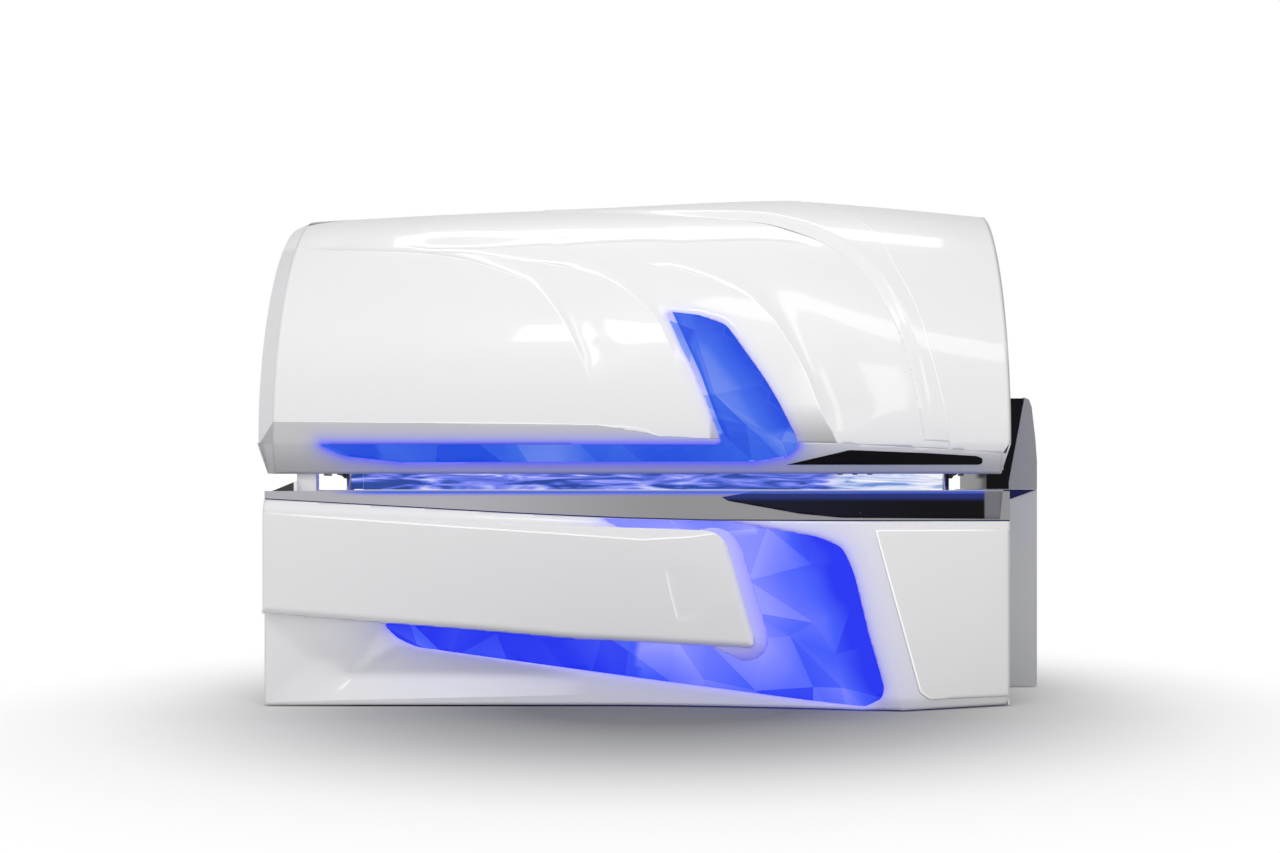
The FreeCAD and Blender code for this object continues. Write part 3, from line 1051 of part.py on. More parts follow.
def make_hinge(side):
    """Make one end's arm, bush, bracket, pin, lug pin and gas spring."""
    pin_length = "arm_sheet + hinge_gap + bracket_sheet + 4"
    arm = plate("Arm" + side, "YZ_Plane", [
        ("hinge_y - hub_radius", "hinge_z - hub_radius * 0.7"), ("hinge_y + hub_radius * 0.6", "hinge_z - hub_radius"),
        ("hinge_y + hub_radius", "hinge_z - hub_radius * 0.4"),
        ("hinge_y + hub_radius + 20", "hinge_z + arm_height"),
        ("hinge_y - lug_reach - 10", "hinge_z + arm_height"), ("hinge_y - lug_reach - 18", "hinge_z + 10"),
        ("hinge_y - lug_reach - 14", "hinge_z - 15")], "arm_sheet",
        [("hinge_y", "hinge_z", "pin_radius + bush_wall + running_gap"),
         ("hinge_y - lug_reach", "hinge_z", "lug_radius + running_gap")],
        x=mirrored("arm_left", "arm_sheet", side))
    bracket = plate("Bracket" + side, "YZ_Plane", [
        ("hinge_y - bracket_width / 2", "pan_top"), ("hinge_y + bracket_width / 2", "pan_top"),
        ("hinge_y + bracket_width / 2", "hinge_z - hub_radius"),
        ("hinge_y + hub_radius * 0.7", "hinge_z + hub_radius * 0.7"),
        ("hinge_y - hub_radius * 0.7", "hinge_z + hub_radius * 0.7"),
        ("hinge_y - bracket_width / 2", "hinge_z - hub_radius")],
        "bracket_sheet", [("hinge_y", "hinge_z", "pin_radius + running_gap")],
        x=mirrored("bracket_left", "bracket_sheet", side))
    pin = rod("Pin" + side, "x", "pin_radius", pin_length,
              mirrored("arm_left - 2", pin_length, side), "hinge_y", "hinge_z")
    bush = cut("Bush" + side,
               rod("BushOut" + side, "x", "pin_radius + bush_wall", "arm_sheet",
                   mirrored("arm_left", "arm_sheet", side), "hinge_y", "hinge_z"),
               rod("BushIn" + side, "x", "pin_radius + running_gap", "arm_sheet + 2",
                   mirrored("arm_left - 1", "arm_sheet + 2", side), "hinge_y", "hinge_z"))
    lug_length = "arm_sheet + hinge_gap * 2 + bracket_sheet + eye_sheet + 4"
    lug = rod("Lug" + side, "x", "lug_radius", lug_length,
              mirrored("arm_left", lug_length, side), "hinge_y - lug_reach", "hinge_z")
    return arm, bracket, pin, bush, lug


def along_spring(distance):
    """Give the y and z of a point on the gas spring's axis, this far below its upper eye."""
    y = f"hinge_y - lug_reach - eye_bias * cos(spring_tilt) - ({distance}) * sin(spring_tilt)"
    z = f"hinge_z + eye_bias * sin(spring_tilt) - ({distance}) * cos(spring_tilt)"
    return y, z


def tilted(name, radius, length, x, distance):
    """Make a rod along the gas spring's axis, from this far below its upper eye, upwards."""
    cylinder = doc.addObject("Part::Cylinder", name)
    bind(cylinder, Radius=radius, Height=length)
    cylinder.Placement = FreeCAD.Placement(V(), FreeCAD.Rotation(V(-1, 0, 0), v.spring_tilt))
    cylinder.setExpression("Placement.Rotation.Angle", bound("spring_tilt"))
    y, z = along_spring(distance)
    return put(cylinder, x, y, z)


def make_spring(side):
    """Make one gas spring: a cylinder on its lower pin, and the rod with its eye round the lug pin."""
    x = "spring_left" if side == "left" else "base_left + base_right - spring_left"
    barrel = tilted("Barrel" + side, "spring_radius", "cylinder_length", x, "spring_length - 20")
    bore = tilted("BarrelBore" + side, "rod_radius + rod_clearance", "cylinder_length - 10", x, "spring_length - 40")
    lower_y, lower_z = along_spring("spring_length")
    eye_x = f"{x} - eye_sheet / 2"
    tail = rod("Tail" + side, "x", "lug_radius + eye_wall + 8", "eye_sheet", eye_x, lower_y, lower_z)
    tail_bore = rod("TailBore" + side, "x", "lug_radius + running_gap", "eye_sheet + 2", f"{eye_x} - 1",
                    lower_y, lower_z)
    body = join("CylinderBody" + side, cut("BarrelTube" + side, barrel, bore), tail)
    barrel = cut("Cylinder" + side, body, tail_bore)
    anchor = rod("Anchor" + side, "x", "lug_radius", "eye_sheet + 34",
                 mirrored("spring_left - eye_sheet / 2 - 34", "eye_sheet + 34", side), lower_y, lower_z)
    top_y, top_z = along_spring("0")
    ring = rod("Eye" + side, "x", "lug_radius + eye_slack + eye_wall", "eye_sheet", eye_x, top_y, top_z)
    hole = rod("EyeHole" + side, "x", "lug_radius + eye_slack", "eye_sheet + 2", f"{eye_x} - 1", top_y, top_z)
    stem = tilted("Stem" + side, "rod_radius", "spring_length - 60", x, "spring_length - 60")
    stem_cut = cut("StemCut" + side, join("RodBody" + side, ring, stem), hole)
    keep("gas_spring_rod_" + side, stem_cut)
    return barrel, anchor


def make_spring_mounts():
    """Make the plates on the floor pan that hold the springs' lower pins."""
    lower_y, lower_z = along_spring("spring_length")
    mounts = []
    for side in ("left", "right"):
        x = mirrored("bracket_left - 10", "bracket_sheet", side)
        mounts.append(plate("SpringMount" + side, "YZ_Plane", [
            (f"{lower_y} - 60", "pan_top"), (f"{lower_y} + 60", "pan_top"),
            (f"{lower_y} + 18", f"{lower_z} + 16"), (f"{lower_y} - 18", f"{lower_z} + 16")], "bracket_sheet",
            [(lower_y, lower_z, "lug_radius + running_gap")], x=x))
    return mounts


def make_rest():
    """Make the post that the closed canopy rests on, and the black wedge beside it."""
    post = box("RestPost", ("base_left + 85", "base_left + 141"),
               ("rail_y + 6", "rail_y + 50"), ("deck_height", "canopy_bottom + 3.7"))
    wedge = [("base_left + frame_inset", "deck_height"), ("base_left + 92", "deck_height"),
             ("base_left + 92", "deck_height + 30")]
    trim = plate("RestWedge", "XZ_Plane", wedge, "30", y="front_y + 40")
    keep("canopy_rests", group("CanopyRests", post, trim))


def main():
    make_base_frame()
    make_base_front()
    make_deck()
    make_base_shell()
    make_bench()
    make_base_gear()
    make_fan("BaseFan", "base_fan", "fan_x", "fan_y", "pan_top")
    make_fan("RoofFan", "canopy_fan", "middle_x", "tunnel_y", "roof_tube_z + rib_tube")
    make_pillar()
    make_canopy_covers()
    make_skirt()
    make_canopy_lens()
    make_canopy_ends()
    make_canopy_frame()
    make_tunnel()
    make_facial()
    make_canopy_rails()
    make_control_panel()
    arms, brackets, pins, bushes, lugs = zip(*[make_hinge(side) for side in ("left", "right")])
    barrels, anchors = zip(*[make_spring(side) for side in ("left", "right")])
    keep("lift_arms", group("LiftArms", *arms, *lugs))
    keep("hinge_brackets", group("HingeBrackets", *brackets, *make_spring_mounts()))
    keep("pivot_pins", group("PivotPins", *pins, *anchors))
    keep("hinge_bushes", group("HingeBushes", *bushes))
    keep("gas_spring_cylinders", group("GasCylinders", *barrels))
    make_rest()
    save()


def save():
    """Check every object, then write each sub-part to its own file."""
    doc.recompute()
    faults = [f"{thing.Name}: {thing.State}" for thing in doc.Objects
              if "Invalid" in thing.State or "Error" in thing.State]
    for node, thing in nodes.items():
        shape = thing.Shape
        if shape.isNull() or not shape.isValid() or not shape.Solids:
            faults.append(f"{node}: bad shape")
    if faults:
        raise RuntimeError("; ".join(faults))
    os.makedirs("parts", exist_ok=True)
    for node, thing in nodes.items():
        thing.Shape.exportStep(f"parts/{node}.step")
        box_of = thing.Shape.optimalBoundingBox(False)
        print(f"{node:26s} {len(thing.Shape.Solids):3d} solids, x {box_of.XMin:7.1f} {box_of.XMax:7.1f}, "
              f"y {box_of.YMin:6.1f} {box_of.YMax:6.1f}, z {box_of.ZMin:6.1f} {box_of.ZMax:6.1f}")
    print(len(nodes), "sub-parts")


main()
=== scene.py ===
import math
import random

import bmesh
import bpy
import numpy as np
from mathutils import Matrix, Vector


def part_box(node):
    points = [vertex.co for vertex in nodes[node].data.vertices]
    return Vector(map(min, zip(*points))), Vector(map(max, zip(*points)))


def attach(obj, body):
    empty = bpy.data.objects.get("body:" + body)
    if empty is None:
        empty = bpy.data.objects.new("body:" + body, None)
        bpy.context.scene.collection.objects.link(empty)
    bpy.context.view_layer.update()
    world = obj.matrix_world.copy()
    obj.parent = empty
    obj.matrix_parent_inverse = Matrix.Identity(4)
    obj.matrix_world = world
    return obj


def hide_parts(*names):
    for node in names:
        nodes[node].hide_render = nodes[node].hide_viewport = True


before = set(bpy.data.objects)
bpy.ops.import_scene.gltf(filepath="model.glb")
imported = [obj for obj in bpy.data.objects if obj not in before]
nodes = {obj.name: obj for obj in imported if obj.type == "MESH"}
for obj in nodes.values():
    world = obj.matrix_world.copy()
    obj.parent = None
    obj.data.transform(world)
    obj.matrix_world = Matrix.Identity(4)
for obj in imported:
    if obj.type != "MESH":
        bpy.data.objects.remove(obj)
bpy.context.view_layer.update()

# Clamshell tanning bed. +X is the head end, -Y the front, +Z up, in metres, in the frame's own place.

# ---------------------------------------------------------------- sizes read from the frame

SKIRT_LOW, SKIRT_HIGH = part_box("canopy_skirt")
COVER_LOW, COVER_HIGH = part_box("canopy_front_cover")
LIP_LOW, LIP_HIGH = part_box("base_lip")
FASCIA_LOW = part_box("base_lower_fascia")[0]

CANOPY_LEFT = SKIRT_LOW.x
CANOPY_RIGHT = SKIRT_HIGH.x
CANOPY_LENGTH = CANOPY_RIGHT - CANOPY_LEFT
CANOPY_BOTTOM = SKIRT_LOW.z
RIDGE = COVER_HIGH.z
FRONT = COVER_LOW.y
APEX = COVER_HIGH.y
COVER_LEFT = COVER_LOW.x
COVER_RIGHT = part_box("canopy_head_cover")[1].x
BASE_LEFT = LIP_LOW.x
BASE_RIGHT = LIP_HIGH.x
BASE_LENGTH = BASE_RIGHT - BASE_LEFT
DECK = LIP_HIGH.z

# The canopy's profile, top line, ribbon and head cover.
SKIRT_HEIGHT = 0.089
SKIRT_TAPER = 0.034
WIDEST = CANOPY_BOTTOM + SKIRT_HEIGHT
SHOULDER = 0.8
PROFILE_POWER = 1.8
RIDGE_PEAK = CANOPY_LEFT + 1.485
FOOT_DROP = 0.052
HEAD_DROP = 0.032
ARCH_RISE = 0.019
ARCH_START = CANOPY_LEFT + 0.835
ARCH_CREST = CANOPY_LEFT + 1.636
ARCH_SOFT = 0.04
ARCH_CRISP = 0.003
RIBBON_PROUD = 0.002
RIDGE_FALL = 0.035
HEAD_FOOT = -0.02
HEAD_CLIMB = 0.42
RUN = 0.7
TOP_RUN = RUN * math.pi / 2
SEAM_CORNER = (0.195, 0.15)
FOOT_CORNER = 0.018

# The base's front, which swells to a nose near its head end.
FLOOR_GAP = FASCIA_LOW.z
NOSE_REACH = FRONT - FASCIA_LOW.y
NOSE_TOP_REACH = 0.08
NOSE_X = BASE_RIGHT - 0.327
NOSE_LEAN = 0.128
SWELL_START = BASE_LEFT + 1.0
LINE_WIDTH = 0.0028

# The base's raised cover and panel, the band above the cover, the rim beside it and the bottom chamfer.
COVER_PROUD = 0.026
PANEL_PROUD = 0.005
CREASE_FALL = 0.22
COVER_ROUND = 0.022
PANEL_ROUND = 0.004
BAND_END = BASE_LEFT + 0.60 * BASE_LENGTH
BAND_FADE = 0.12
BAND_STEP = 0.0015
RIM_START = BASE_LEFT + 0.585 * BASE_LENGTH
RIM_GROWTH = 0.10
RIM_WIDTH = 0.036
RIM_PROUD = 0.012
CHAMFER_START = BASE_LEFT + 0.8 * BASE_LENGTH
CHAMFER = 0.012
CHAMFER_HEIGHT = 0.03
SOFT = 0.011

# Walls of the skins and how they lie on, under or beside each other.
SHELL_WALL = 0.004
THIN_WALL = 0.003
RIBBON_WALL = 0.002
SKIN_WALL = 0.001
SKIN_PROUD = 0.0012
SKIN_GAP = 0.0005
LENS_SUNK = 0.006
CANOPY_LENS_RIM = (0.012, 0.005)
BASE_LENS_RIM = (0.010, 0.004)
FACET_JITTER = 0.4
FACET_DRIFT = 0.14
STRIP_WIDTH = 0.013
STRIP_EDGE = 0.003
DEEP_SPOT = (0.52, 0.36)
RAIL_FACE = 0.378
RAIL_ENDS = [(CANOPY_LEFT + 0.145, CANOPY_LEFT + 0.105), (CANOPY_RIGHT - 0.127, CANOPY_RIGHT - 0.087)]

# Squares that the skins are cut from, and how far cuts run on past an edge.
CELL = 0.009
FINE_CELL = 0.006
BEYOND = 0.02
FAR_BELOW = -0.12
MOST_OF_SIDE = 0.45
SHORTEST_ROUND = 0.0005

# ---------------------------------------------------------------- outlines, as shares of length and height

SLOT_LINE = [(-0.01, 0.968), (0.343, 0.9), (0.481, 0.879), (0.6, 0.869), (1.01, 0.866)]
BASE_LENS = [(0.455, 0.872, 0), (0.62, 0.860, 0.2), (0.739, 0.791, 0.06), (0.772, 0.745, 0.06),
             (0.787, 0.634, 0.3), (0.806, 0.350, 0.4), (0.826, 0.105, 0.06), (0.822, 0.058, 0.025),
             (0.801, 0.021, 0.03), (0.716, 0.047, 0.3), (0.529, 0.121, 0.8), (0.289, 0.234, 0.6),
             (0.203, 0.276, 0.12), (0.178, 0.318, 0.06), (0.157, 0.388, 0.012), (0.289, 0.375, 0),
             (0.42, 0.335, 0), (0.60, 0.300, 0.03), (0.63, 0.34, 0.03), (0.605, 0.72, 0.06),
             (0.58, 0.775, 0.06), (0.50, 0.79, 0)]
FRONT_COVER = [(0.0, 0.907, 0), (0.343, 0.846, 0), (0.505, 0.829, 0), (0.618, 0.816, 0.09),
               (0.6635, 0.272, 0.035), (0.423, 0.311, 0), (0.289, 0.353, 0), (0.158, 0.389, 0),
               (0.0, 0.434, 0)]
RIGHT_PANEL = [(0.815, 0.822, 0.006), (0.9985, 0.822, 0), (0.9985, 0.047, 0), (0.886, 0.050, 0.02),
               (0.872, 0.085, 0.02)]
RECESS_MOUTH = [(0.010, 0.022), (0.003, 0.405), (0.157, 0.386), (0.169, 0.341), (0.186, 0.294),
                (0.206, 0.273), (0.299, 0.228), (0.45, 0.155), (0.50, 0.06)]
PANEL_EDGE = [(0.91, 0.0515), (0.8865, 0.0545), (0.874, 0.088), (0.8168, 0.818), (0.83, 0.8185),
              (0.997, 0.8185)]
RECESS_VALLEY = [(0.158, 0.372), (0.113, 0.14), (0.25, 0.148), (0.43, 0.13)]
VALLEY_DEPTHS = (0.010, 0.057, 0.042, 0.0)
GLASS_STRIP = [(0.614, 0.972), (0.658, 0.998), (0.990, 0.998), (0.986, 0.871), (0.771, 0.878), (0.717, 0.896),
               (0.622, 0.955)]
COVER_EDGE = [(-0.01, 0.174), (0.45, 0.163), (0.534, 0.126), (0.60, 0.118), (0.72, 0.106), (0.77, 0.103),
              (0.919, 0.083), (1.01, 0.069)]
CANOPY_LENS = [(0.543, 0.558, 0.008), (0.587, 0.545, 0.04), (0.622, 0.515, 0.06), (0.647, 0.422, 0.2),
               (0.671, 0.334, 0), (0.692, 0.243, 0), (0.708, 0.161, 0), (0.719, 0.095, 0.025),
               (0.706, 0.063, 0.025), (0.66, 0.041, 0.06), (0.188, 0.039, 0.06), (0.115, 0.059, 0.06),
               (0.079, 0.099, 0.006), (0.582, 0.098, 0), (0.617, 0.098, 0.012), (0.599, 0.227, 0),
               (0.583, 0.33, 0), (0.563, 0.439, 0)]
ARCH_LEFT = [(0.36, 0.975), (0.409, 0.968), (0.558, 0.936), (0.66, 0.912), (0.714, 0.873), (0.77, 0.799),
             (0.817, 0.68), (0.852, 0.494), (0.872, 0.30), (0.885, 0.112)]
ARCH_RIGHT = [(0.72, 1.05), (0.75, 0.965), (0.812, 0.9), (0.838, 0.827), (0.856, 0.719), (0.881, 0.569),
              (0.899, 0.389), (0.915, 0.207), (0.918, 0.107)]
COVER_CREASE = [(-0.01, 0.901), (0.143, 0.863), (0.264, 0.833), (0.403, 0.801), (0.507, 0.775),
                (0.571, 0.787), (0.66, 0.83)]
SHORT_CREASE = [(0.54, 0.64), (0.547, 0.52), (0.557, 0.391)]
LENS_INNER = [(0.543, 0.558), (0.583, 0.33), (0.617, 0.098)]
LENS_CORNER = (0.605, 0.103)

# The creases of the canopy's front cover: their line, depth and width.
CREASES = {
    "foot_sweep": ([(0.02, 0.80), (0.10, 0.79), (0.185, 0.781), (0.255, 0.757), (0.311, 0.712),
                    (0.339, 0.685), (0.363, 0.653), (0.404, 0.519), (0.449, 0.279)], 0.009, 0.045),
    "middle_sweep": ([(0.352, 0.755), (0.45, 0.692), (0.506, 0.595), (0.528, 0.531), (0.543, 0.455),
                      (0.561, 0.344)], 0.006, 0.04),
    "head_sweep": ([(0.504, 0.746), (0.578, 0.699), (0.644, 0.628), (0.676, 0.558), (0.696, 0.49),
                    (0.725, 0.357), (0.747, 0.217), (0.77, 0.103)], 0.010, 0.05),
    "upper_line": ([(0.153, 0.824), (0.214, 0.81), (0.323, 0.812), (0.531, 0.825), (0.605, 0.828),
                    (0.685, 0.826), (0.769, 0.797)], 0.005, 0.035),
    "foot_hook": ([(0.186, 0.782), (0.259, 0.786), (0.348, 0.754), (0.4, 0.733), (0.421, 0.717)],
                  0.004, 0.03),
}


# ---------------------------------------------------------------- flat geometry

def vectors(corners):
    """Take corners as plain points, without their radii."""
    return [Vector(corner[:2]) for corner in corners]


def eased(share):
    """Ease the start and the end of a rise from 0 to 1."""
    share = np.clip(share, 0, 1)
    return share * share * (3 - 2 * share)


def rounded(corners):
    """Follow an outline of (a, b, radius), with each rounded corner as a few points of its arc."""
    points = vectors(corners)
    line = []
    for i, corner in enumerate(corners):
        here = points[i]
        radius = corner[2] if len(corner) > 2 else 0
        back = points[i - 1] - here
        ahead = points[(i + 1) % len(points)] - here
        half = back.angle(ahead) / 2
        most = MOST_OF_SIDE * min(back.length, ahead.length)
        reach = min(radius / math.tan(half), most) if radius else 0
        if reach < SHORTEST_ROUND:
            line.append(here)
            continue
        start = here + back.normalized() * reach
        end = here + ahead.normalized() * reach
        steps = 6 if half < math.radians(75) else 3
        for step in range(steps + 1):
            share = step / steps
            line.append(start.lerp(here, share).lerp(here.lerp(end, share), share))
    return line


def smooth_line(points, steps=6):
    """Run a smooth curve through the points of an open line."""
    points = vectors(points)
    ends = [2 * points[0] - points[1]] + points + [2 * points[-1] - points[-2]]
    line = []
    for p0, p1, p2, p3 in zip(ends, ends[1:], ends[2:], ends[3:]):
        for step in range(steps):
            t = step / steps
            line.append(0.5 * (2 * p1 + (p2 - p0) * t + (2 * p0 - 5 * p1 + 4 * p2 - p3) * t * t
                               + (3 * p1 - p0 - 3 * p2 + p3) * t ** 3))
    return line + [points[-1]]


def distance_to(line, a, b, closed=False):
    """Give each point's distance to a line, its side (+ on the left) and how far along the line it lies."""
    corners = np.array([tuple(point) for point in line])
    if closed:
        corners = np.vstack([corners, corners[:1]])
    best = np.full(len(a), 1e9)
    side = np.zeros(len(a))
    along = np.zeros(len(a))
    lengths = np.linalg.norm(np.diff(corners, axis=0), axis=1)
    starts = np.concatenate([[0], np.cumsum(lengths)[:-1]])
    for (ax, ay), (bx, by), length, start in zip(corners, corners[1:], lengths, starts):
        if length < 1e-9:
            continue
        ux, uy = (bx - ax) / length, (by - ay) / length
        t = np.clip((a - ax) * ux + (b - ay) * uy, 0, length)
        away = np.hypot(a - ax - t * ux, b - ay - t * uy)
        nearer = away < best - 1e-9
        best = np.where(nearer, away, best)
        cross = ux * (b - ay) - uy * (a - ax)
        side = np.where(nearer, np.sign(cross), side)
        along = np.where(nearer, start + t, along)
    return best, side, along / lengths.sum()


def inside(line, a, b):
    """Tell which points lie inside a closed outline."""
    result = np.zeros(len(a), bool)
    for (ax, ay), (bx, by) in zip([tuple(p) for p in line], [tuple(p) for p in line[1:] + line[:1]]):
        if abs(by - ay) < 1e-12:
            continue
        crosses = (ay > b) != (by > b)
        result ^= crosses & (a < ax + (b - ay) / (by - ay) * (bx - ax))
    return result


def grown(line, amount):
    """Move a closed outline outwards (or inwards, for a negative amount) by its own normals."""
    area = sum(p.x * q.y - q.x * p.y for p, q in zip(line, line[1:] + line[:1]))
    turn = 1 if area > 0 else -1
    moved = []
    for before, here, after in zip(line[-1:] + line[:-1], line, line[1:] + line[:1]):
        one = (here - before).normalized()
        two = (after - here).normalized()
        normal = Vector((one.y + two.y, -one.x - two.x)) * turn
        if normal.length < 1e-6:
            continue
        normal.normalize()
        miter = max(0.5, normal.dot(Vector((two.y, -two.x)) * turn))
        moved.append(here + normal * amount / miter)
    return moved


def centres(faces):
    return np.array([face.calc_center_median()[:2] for face in faces])


def cut_along(bm, line, closed, cell):
    """Cut the flat squares of a sheet along a line."""
    line = line + line[:1] if closed else line
    faces = bm.faces[:]
    middle = centres(faces)
    away = distance_to(line, middle[:, 0], middle[:, 1])[0]
    near = {face for face, gap in zip(faces, away) if gap < 2.5 * cell}
    for start, end in zip(line, line[1:]):
        along = end - start
        if along.length < 1e-6:
            continue
        unit = along.normalized()
        picked = []
        for face in near:
            middle = face.calc_center_bounds()
            offset = Vector((middle.x, middle.y)) - start
            reach = offset.dot(unit)
            if -0.8 * cell < reach < along.length + 0.8 * cell and abs(offset.cross(unit)) < 1.2 * cell:
                picked.append(face)
        if not picked:
            continue
        parts = set(picked)
        for face in picked:
            parts.update(face.edges)
            parts.update(face.verts)
        made = bmesh.ops.bisect_plane(bm, geom=list(parts), dist=1e-5, plane_co=(start.x, start.y, 0),
                                      plane_no=(-unit.y, unit.x, 0))
        near.update(part for part in made["geom"] if isinstance(part, bmesh.types.BMFace))
        near = {face for face in near if face.is_valid}


def grid_over(outline, cell, spread=1.0):
    """Lay a flat grid of squares over an outline, or over more than its box."""
    low = Vector((min(p.x for p in outline), min(p.y for p in outline)))
    high = Vector((max(p.x for p in outline), max(p.y for p in outline)))
    size = high - low
    bm = bmesh.new()
    bmesh.ops.create_grid(bm, x_segments=max(2, math.ceil(size.x / cell)),
                          y_segments=max(2, math.ceil(size.y / cell)), size=0.5)
    bmesh.ops.scale(bm, vec=(size.x * spread, size.y * spread, 1), verts=bm.verts)
    bmesh.ops.translate(bm, vec=((low.x + high.x) / 2, (low.y + high.y) / 2, 0), verts=bm.verts)
    return bm


def cut_sheet(outline, cell, holes=(), lines=()):
    """Make a flat sheet of small squares, cut to an outline with holes and scored along open lines."""
    bm = grid_over(outline, cell)
    for loop in [outline, *holes]:
        cut_along(bm, loop, True, cell)
    for line in lines:
        cut_along(bm, line, False, cell)
    trim(bm, outline, holes)
    for line in lines:
        score(bm, line)
    return bm


def score(bm, line):
    """Keep the edges that lie on a line crisp."""
    verts = bm.verts[:]
    flat = np.array([vert.co[:2] for vert in verts])
    away = distance_to(line, flat[:, 0], flat[:, 1])[0]
    on_line = {vert for vert, gap in zip(verts, away) if gap < 1e-4}
    for vert in on_line:
        for edge in vert.link_edges:
            if edge.other_vert(vert) in on_line:
                edge.smooth = False


def trim(bm, outline, holes=()):
    """Delete the faces outside an outline and inside its holes."""
    faces = bm.faces[:]
    middle = centres(faces)
    keep = inside(outline, middle[:, 0], middle[:, 1])
    for hole in holes:
        keep &= ~inside(hole, middle[:, 0], middle[:, 1])
    bmesh.ops.delete(bm, geom=[face for face, kept in zip(faces, keep) if not kept], context="FACES")
    bmesh.ops.remove_doubles(bm, verts=bm.verts, dist=2e-5)


def lift(bm, skin, relief=None, **values):
    """Take a flat sheet to its place on a curved skin, raised by a relief, and store values on its points."""
    bm.verts.ensure_lookup_table()
    flat = np.array([vert.co[:2] for vert in bm.verts])
    a, b = flat[:, 0], flat[:, 1]
    step = 0.001
    place = skin(a, b)
    across = skin(a + step, b) - skin(a - step, b)
    up = skin(a, b + step) - skin(a, b - step)
    normal = np.cross(across, up)
    normal /= np.linalg.norm(normal, axis=1)[:, None]
    if relief is not None:
        place = place + normal * relief(a, b)[:, None]
    for vert, point in zip(bm.verts, place):
        vert.co = point
    for name, value in values.items():
        layer = bm.verts.layers.float.new(name)
        for vert, amount in zip(bm.verts, value(a, b)):
            vert[layer] = amount


def add_object(name, data):
    thing = bpy.data.objects.new(name, data)
    bpy.context.scene.collection.objects.link(thing)
    return thing


def mesh_object(name, bm, material):
    """Turn a bmesh into an object of one material."""
    mesh = bpy.data.meshes.new(name)
    bm.to_mesh(mesh)
    bm.free()
    mesh.materials.append(material)
    return add_object(name, mesh)


def piece(name, bm, body, material, thickness=0.0, stands_for=(), sharp=40):
    """Turn a bmesh into a finished piece that rides on a body."""
    for face in bm.faces:
        face.smooth = True
    for edge in bm.edges:
        if edge.is_manifold and edge.calc_face_angle(0) > math.radians(sharp):
            edge.smooth = False
    thing = mesh_object(name, bm, material)
    if thickness:
        wall = thing.modifiers.new("wall", "SOLIDIFY")
        wall.thickness = thickness
        wall.offset = -1
    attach(thing, body)
    if stands_for:
        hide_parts(*stands_for)
    return thing


# ---------------------------------------------------------------- curved skins

def ridge(x):
    """Height of the canopy's top line."""
    foot = RIDGE - FOOT_DROP * ((RIDGE_PEAK - x) / (RIDGE_PEAK - CANOPY_LEFT)) ** 2
    head = RIDGE - HEAD_DROP * ((x - RIDGE_PEAK) / (CANOPY_RIGHT - RIDGE_PEAK)) ** 2
    return np.where(x < RIDGE_PEAK, foot, head)


def canopy_skin(x, run):
    """Place points on the canopy's front half; run is about the distance up from the shoulder."""
    turn = np.clip(run / RUN, 0, math.pi / 2)
    power = 2 / PROFILE_POWER
    z = SHOULDER + (ridge(x) - SHOULDER) * np.sin(turn) ** power
    y = APEX - (APEX - FRONT) * np.maximum(np.cos(turn), 0) ** power
    z = np.where(run < 0, SHOULDER + run, z)
    taper = SKIRT_TAPER * np.clip((WIDEST - z) / SKIRT_HEIGHT, 0, None)
    y = np.where(run < 0, FRONT + taper, y)
    over = run - TOP_RUN
    y = np.where(over > 0, APEX + over, y)
    return np.stack([x, y, z], axis=1)


def canopy_run(x, z):
    """Give the run at which the canopy's front reaches a height."""
    if z < SHOULDER:
        return z - SHOULDER
    share = min(1.0, (z - SHOULDER) / (float(ridge(np.array(x))) - SHOULDER))
    return RUN * math.asin(share ** (PROFILE_POWER / 2))


def on_canopy(shares):
    """Take points given as shares of the canopy's length and height to its flat plan."""
    placed = []
    for share in shares:
        x = CANOPY_LEFT + share[0] * CANOPY_LENGTH
        z = CANOPY_BOTTOM + share[1] * (RIDGE - CANOPY_BOTTOM)
        placed.append((x, canopy_run(x, z), *share[2:]))
    return placed


def front_skin(x, z):
    """Place points on the base's front, which swells to a nose and falls back to the head end."""
    height = np.clip((z - FLOOR_GAP) / (DECK - FLOOR_GAP), 0, 1)
    reach = NOSE_REACH + (NOSE_TOP_REACH - NOSE_REACH) * height
    nose = NOSE_X - NOSE_LEAN * height
    s = np.clip((x - SWELL_START) / (nose - SWELL_START), 0, 1)
    swell = 0.086 * s + 1.4034 * s ** 2 - 0.4894 * s ** 3
    fall = np.clip((BASE_RIGHT - x) / (BASE_RIGHT - nose), 0, None)
    out = np.where(x < nose, swell, fall)
    return np.stack([x, FRONT - reach * out, z], axis=1)


def on_base(shares):
    """Take points given as shares of the base's length and deck height to its flat plan."""
    return [(BASE_LEFT + share[0] * BASE_LENGTH, share[1] * DECK, *share[2:]) for share in shares]


def lift_at(x):
    """Give how far the ribbon and the head cover stand out of the canopy's plain line."""
    rising = np.sin(math.pi / 2 * np.clip((x - ARCH_START) / (ARCH_CREST - ARCH_START), 0, 1)) ** 2
    falling = np.clip((CANOPY_RIGHT - x) / (CANOPY_RIGHT - ARCH_CREST), 0, 1) ** 1.5
    return ARCH_RISE * np.where(x < ARCH_CREST, rising, falling)


def fold(line, depth, width, fade=0.12):
    """Make a crease: the sheet stays on the line's right and dips on its left, then comes back."""
    def relief(a, b):
        away, side, along = distance_to(line, a, b)
        reach = away / width
        dip = np.where(side > 0, -depth * reach * np.exp(1 - reach), 0)
        return dip * eased(np.minimum(along, 1 - along) / fade)
    return relief


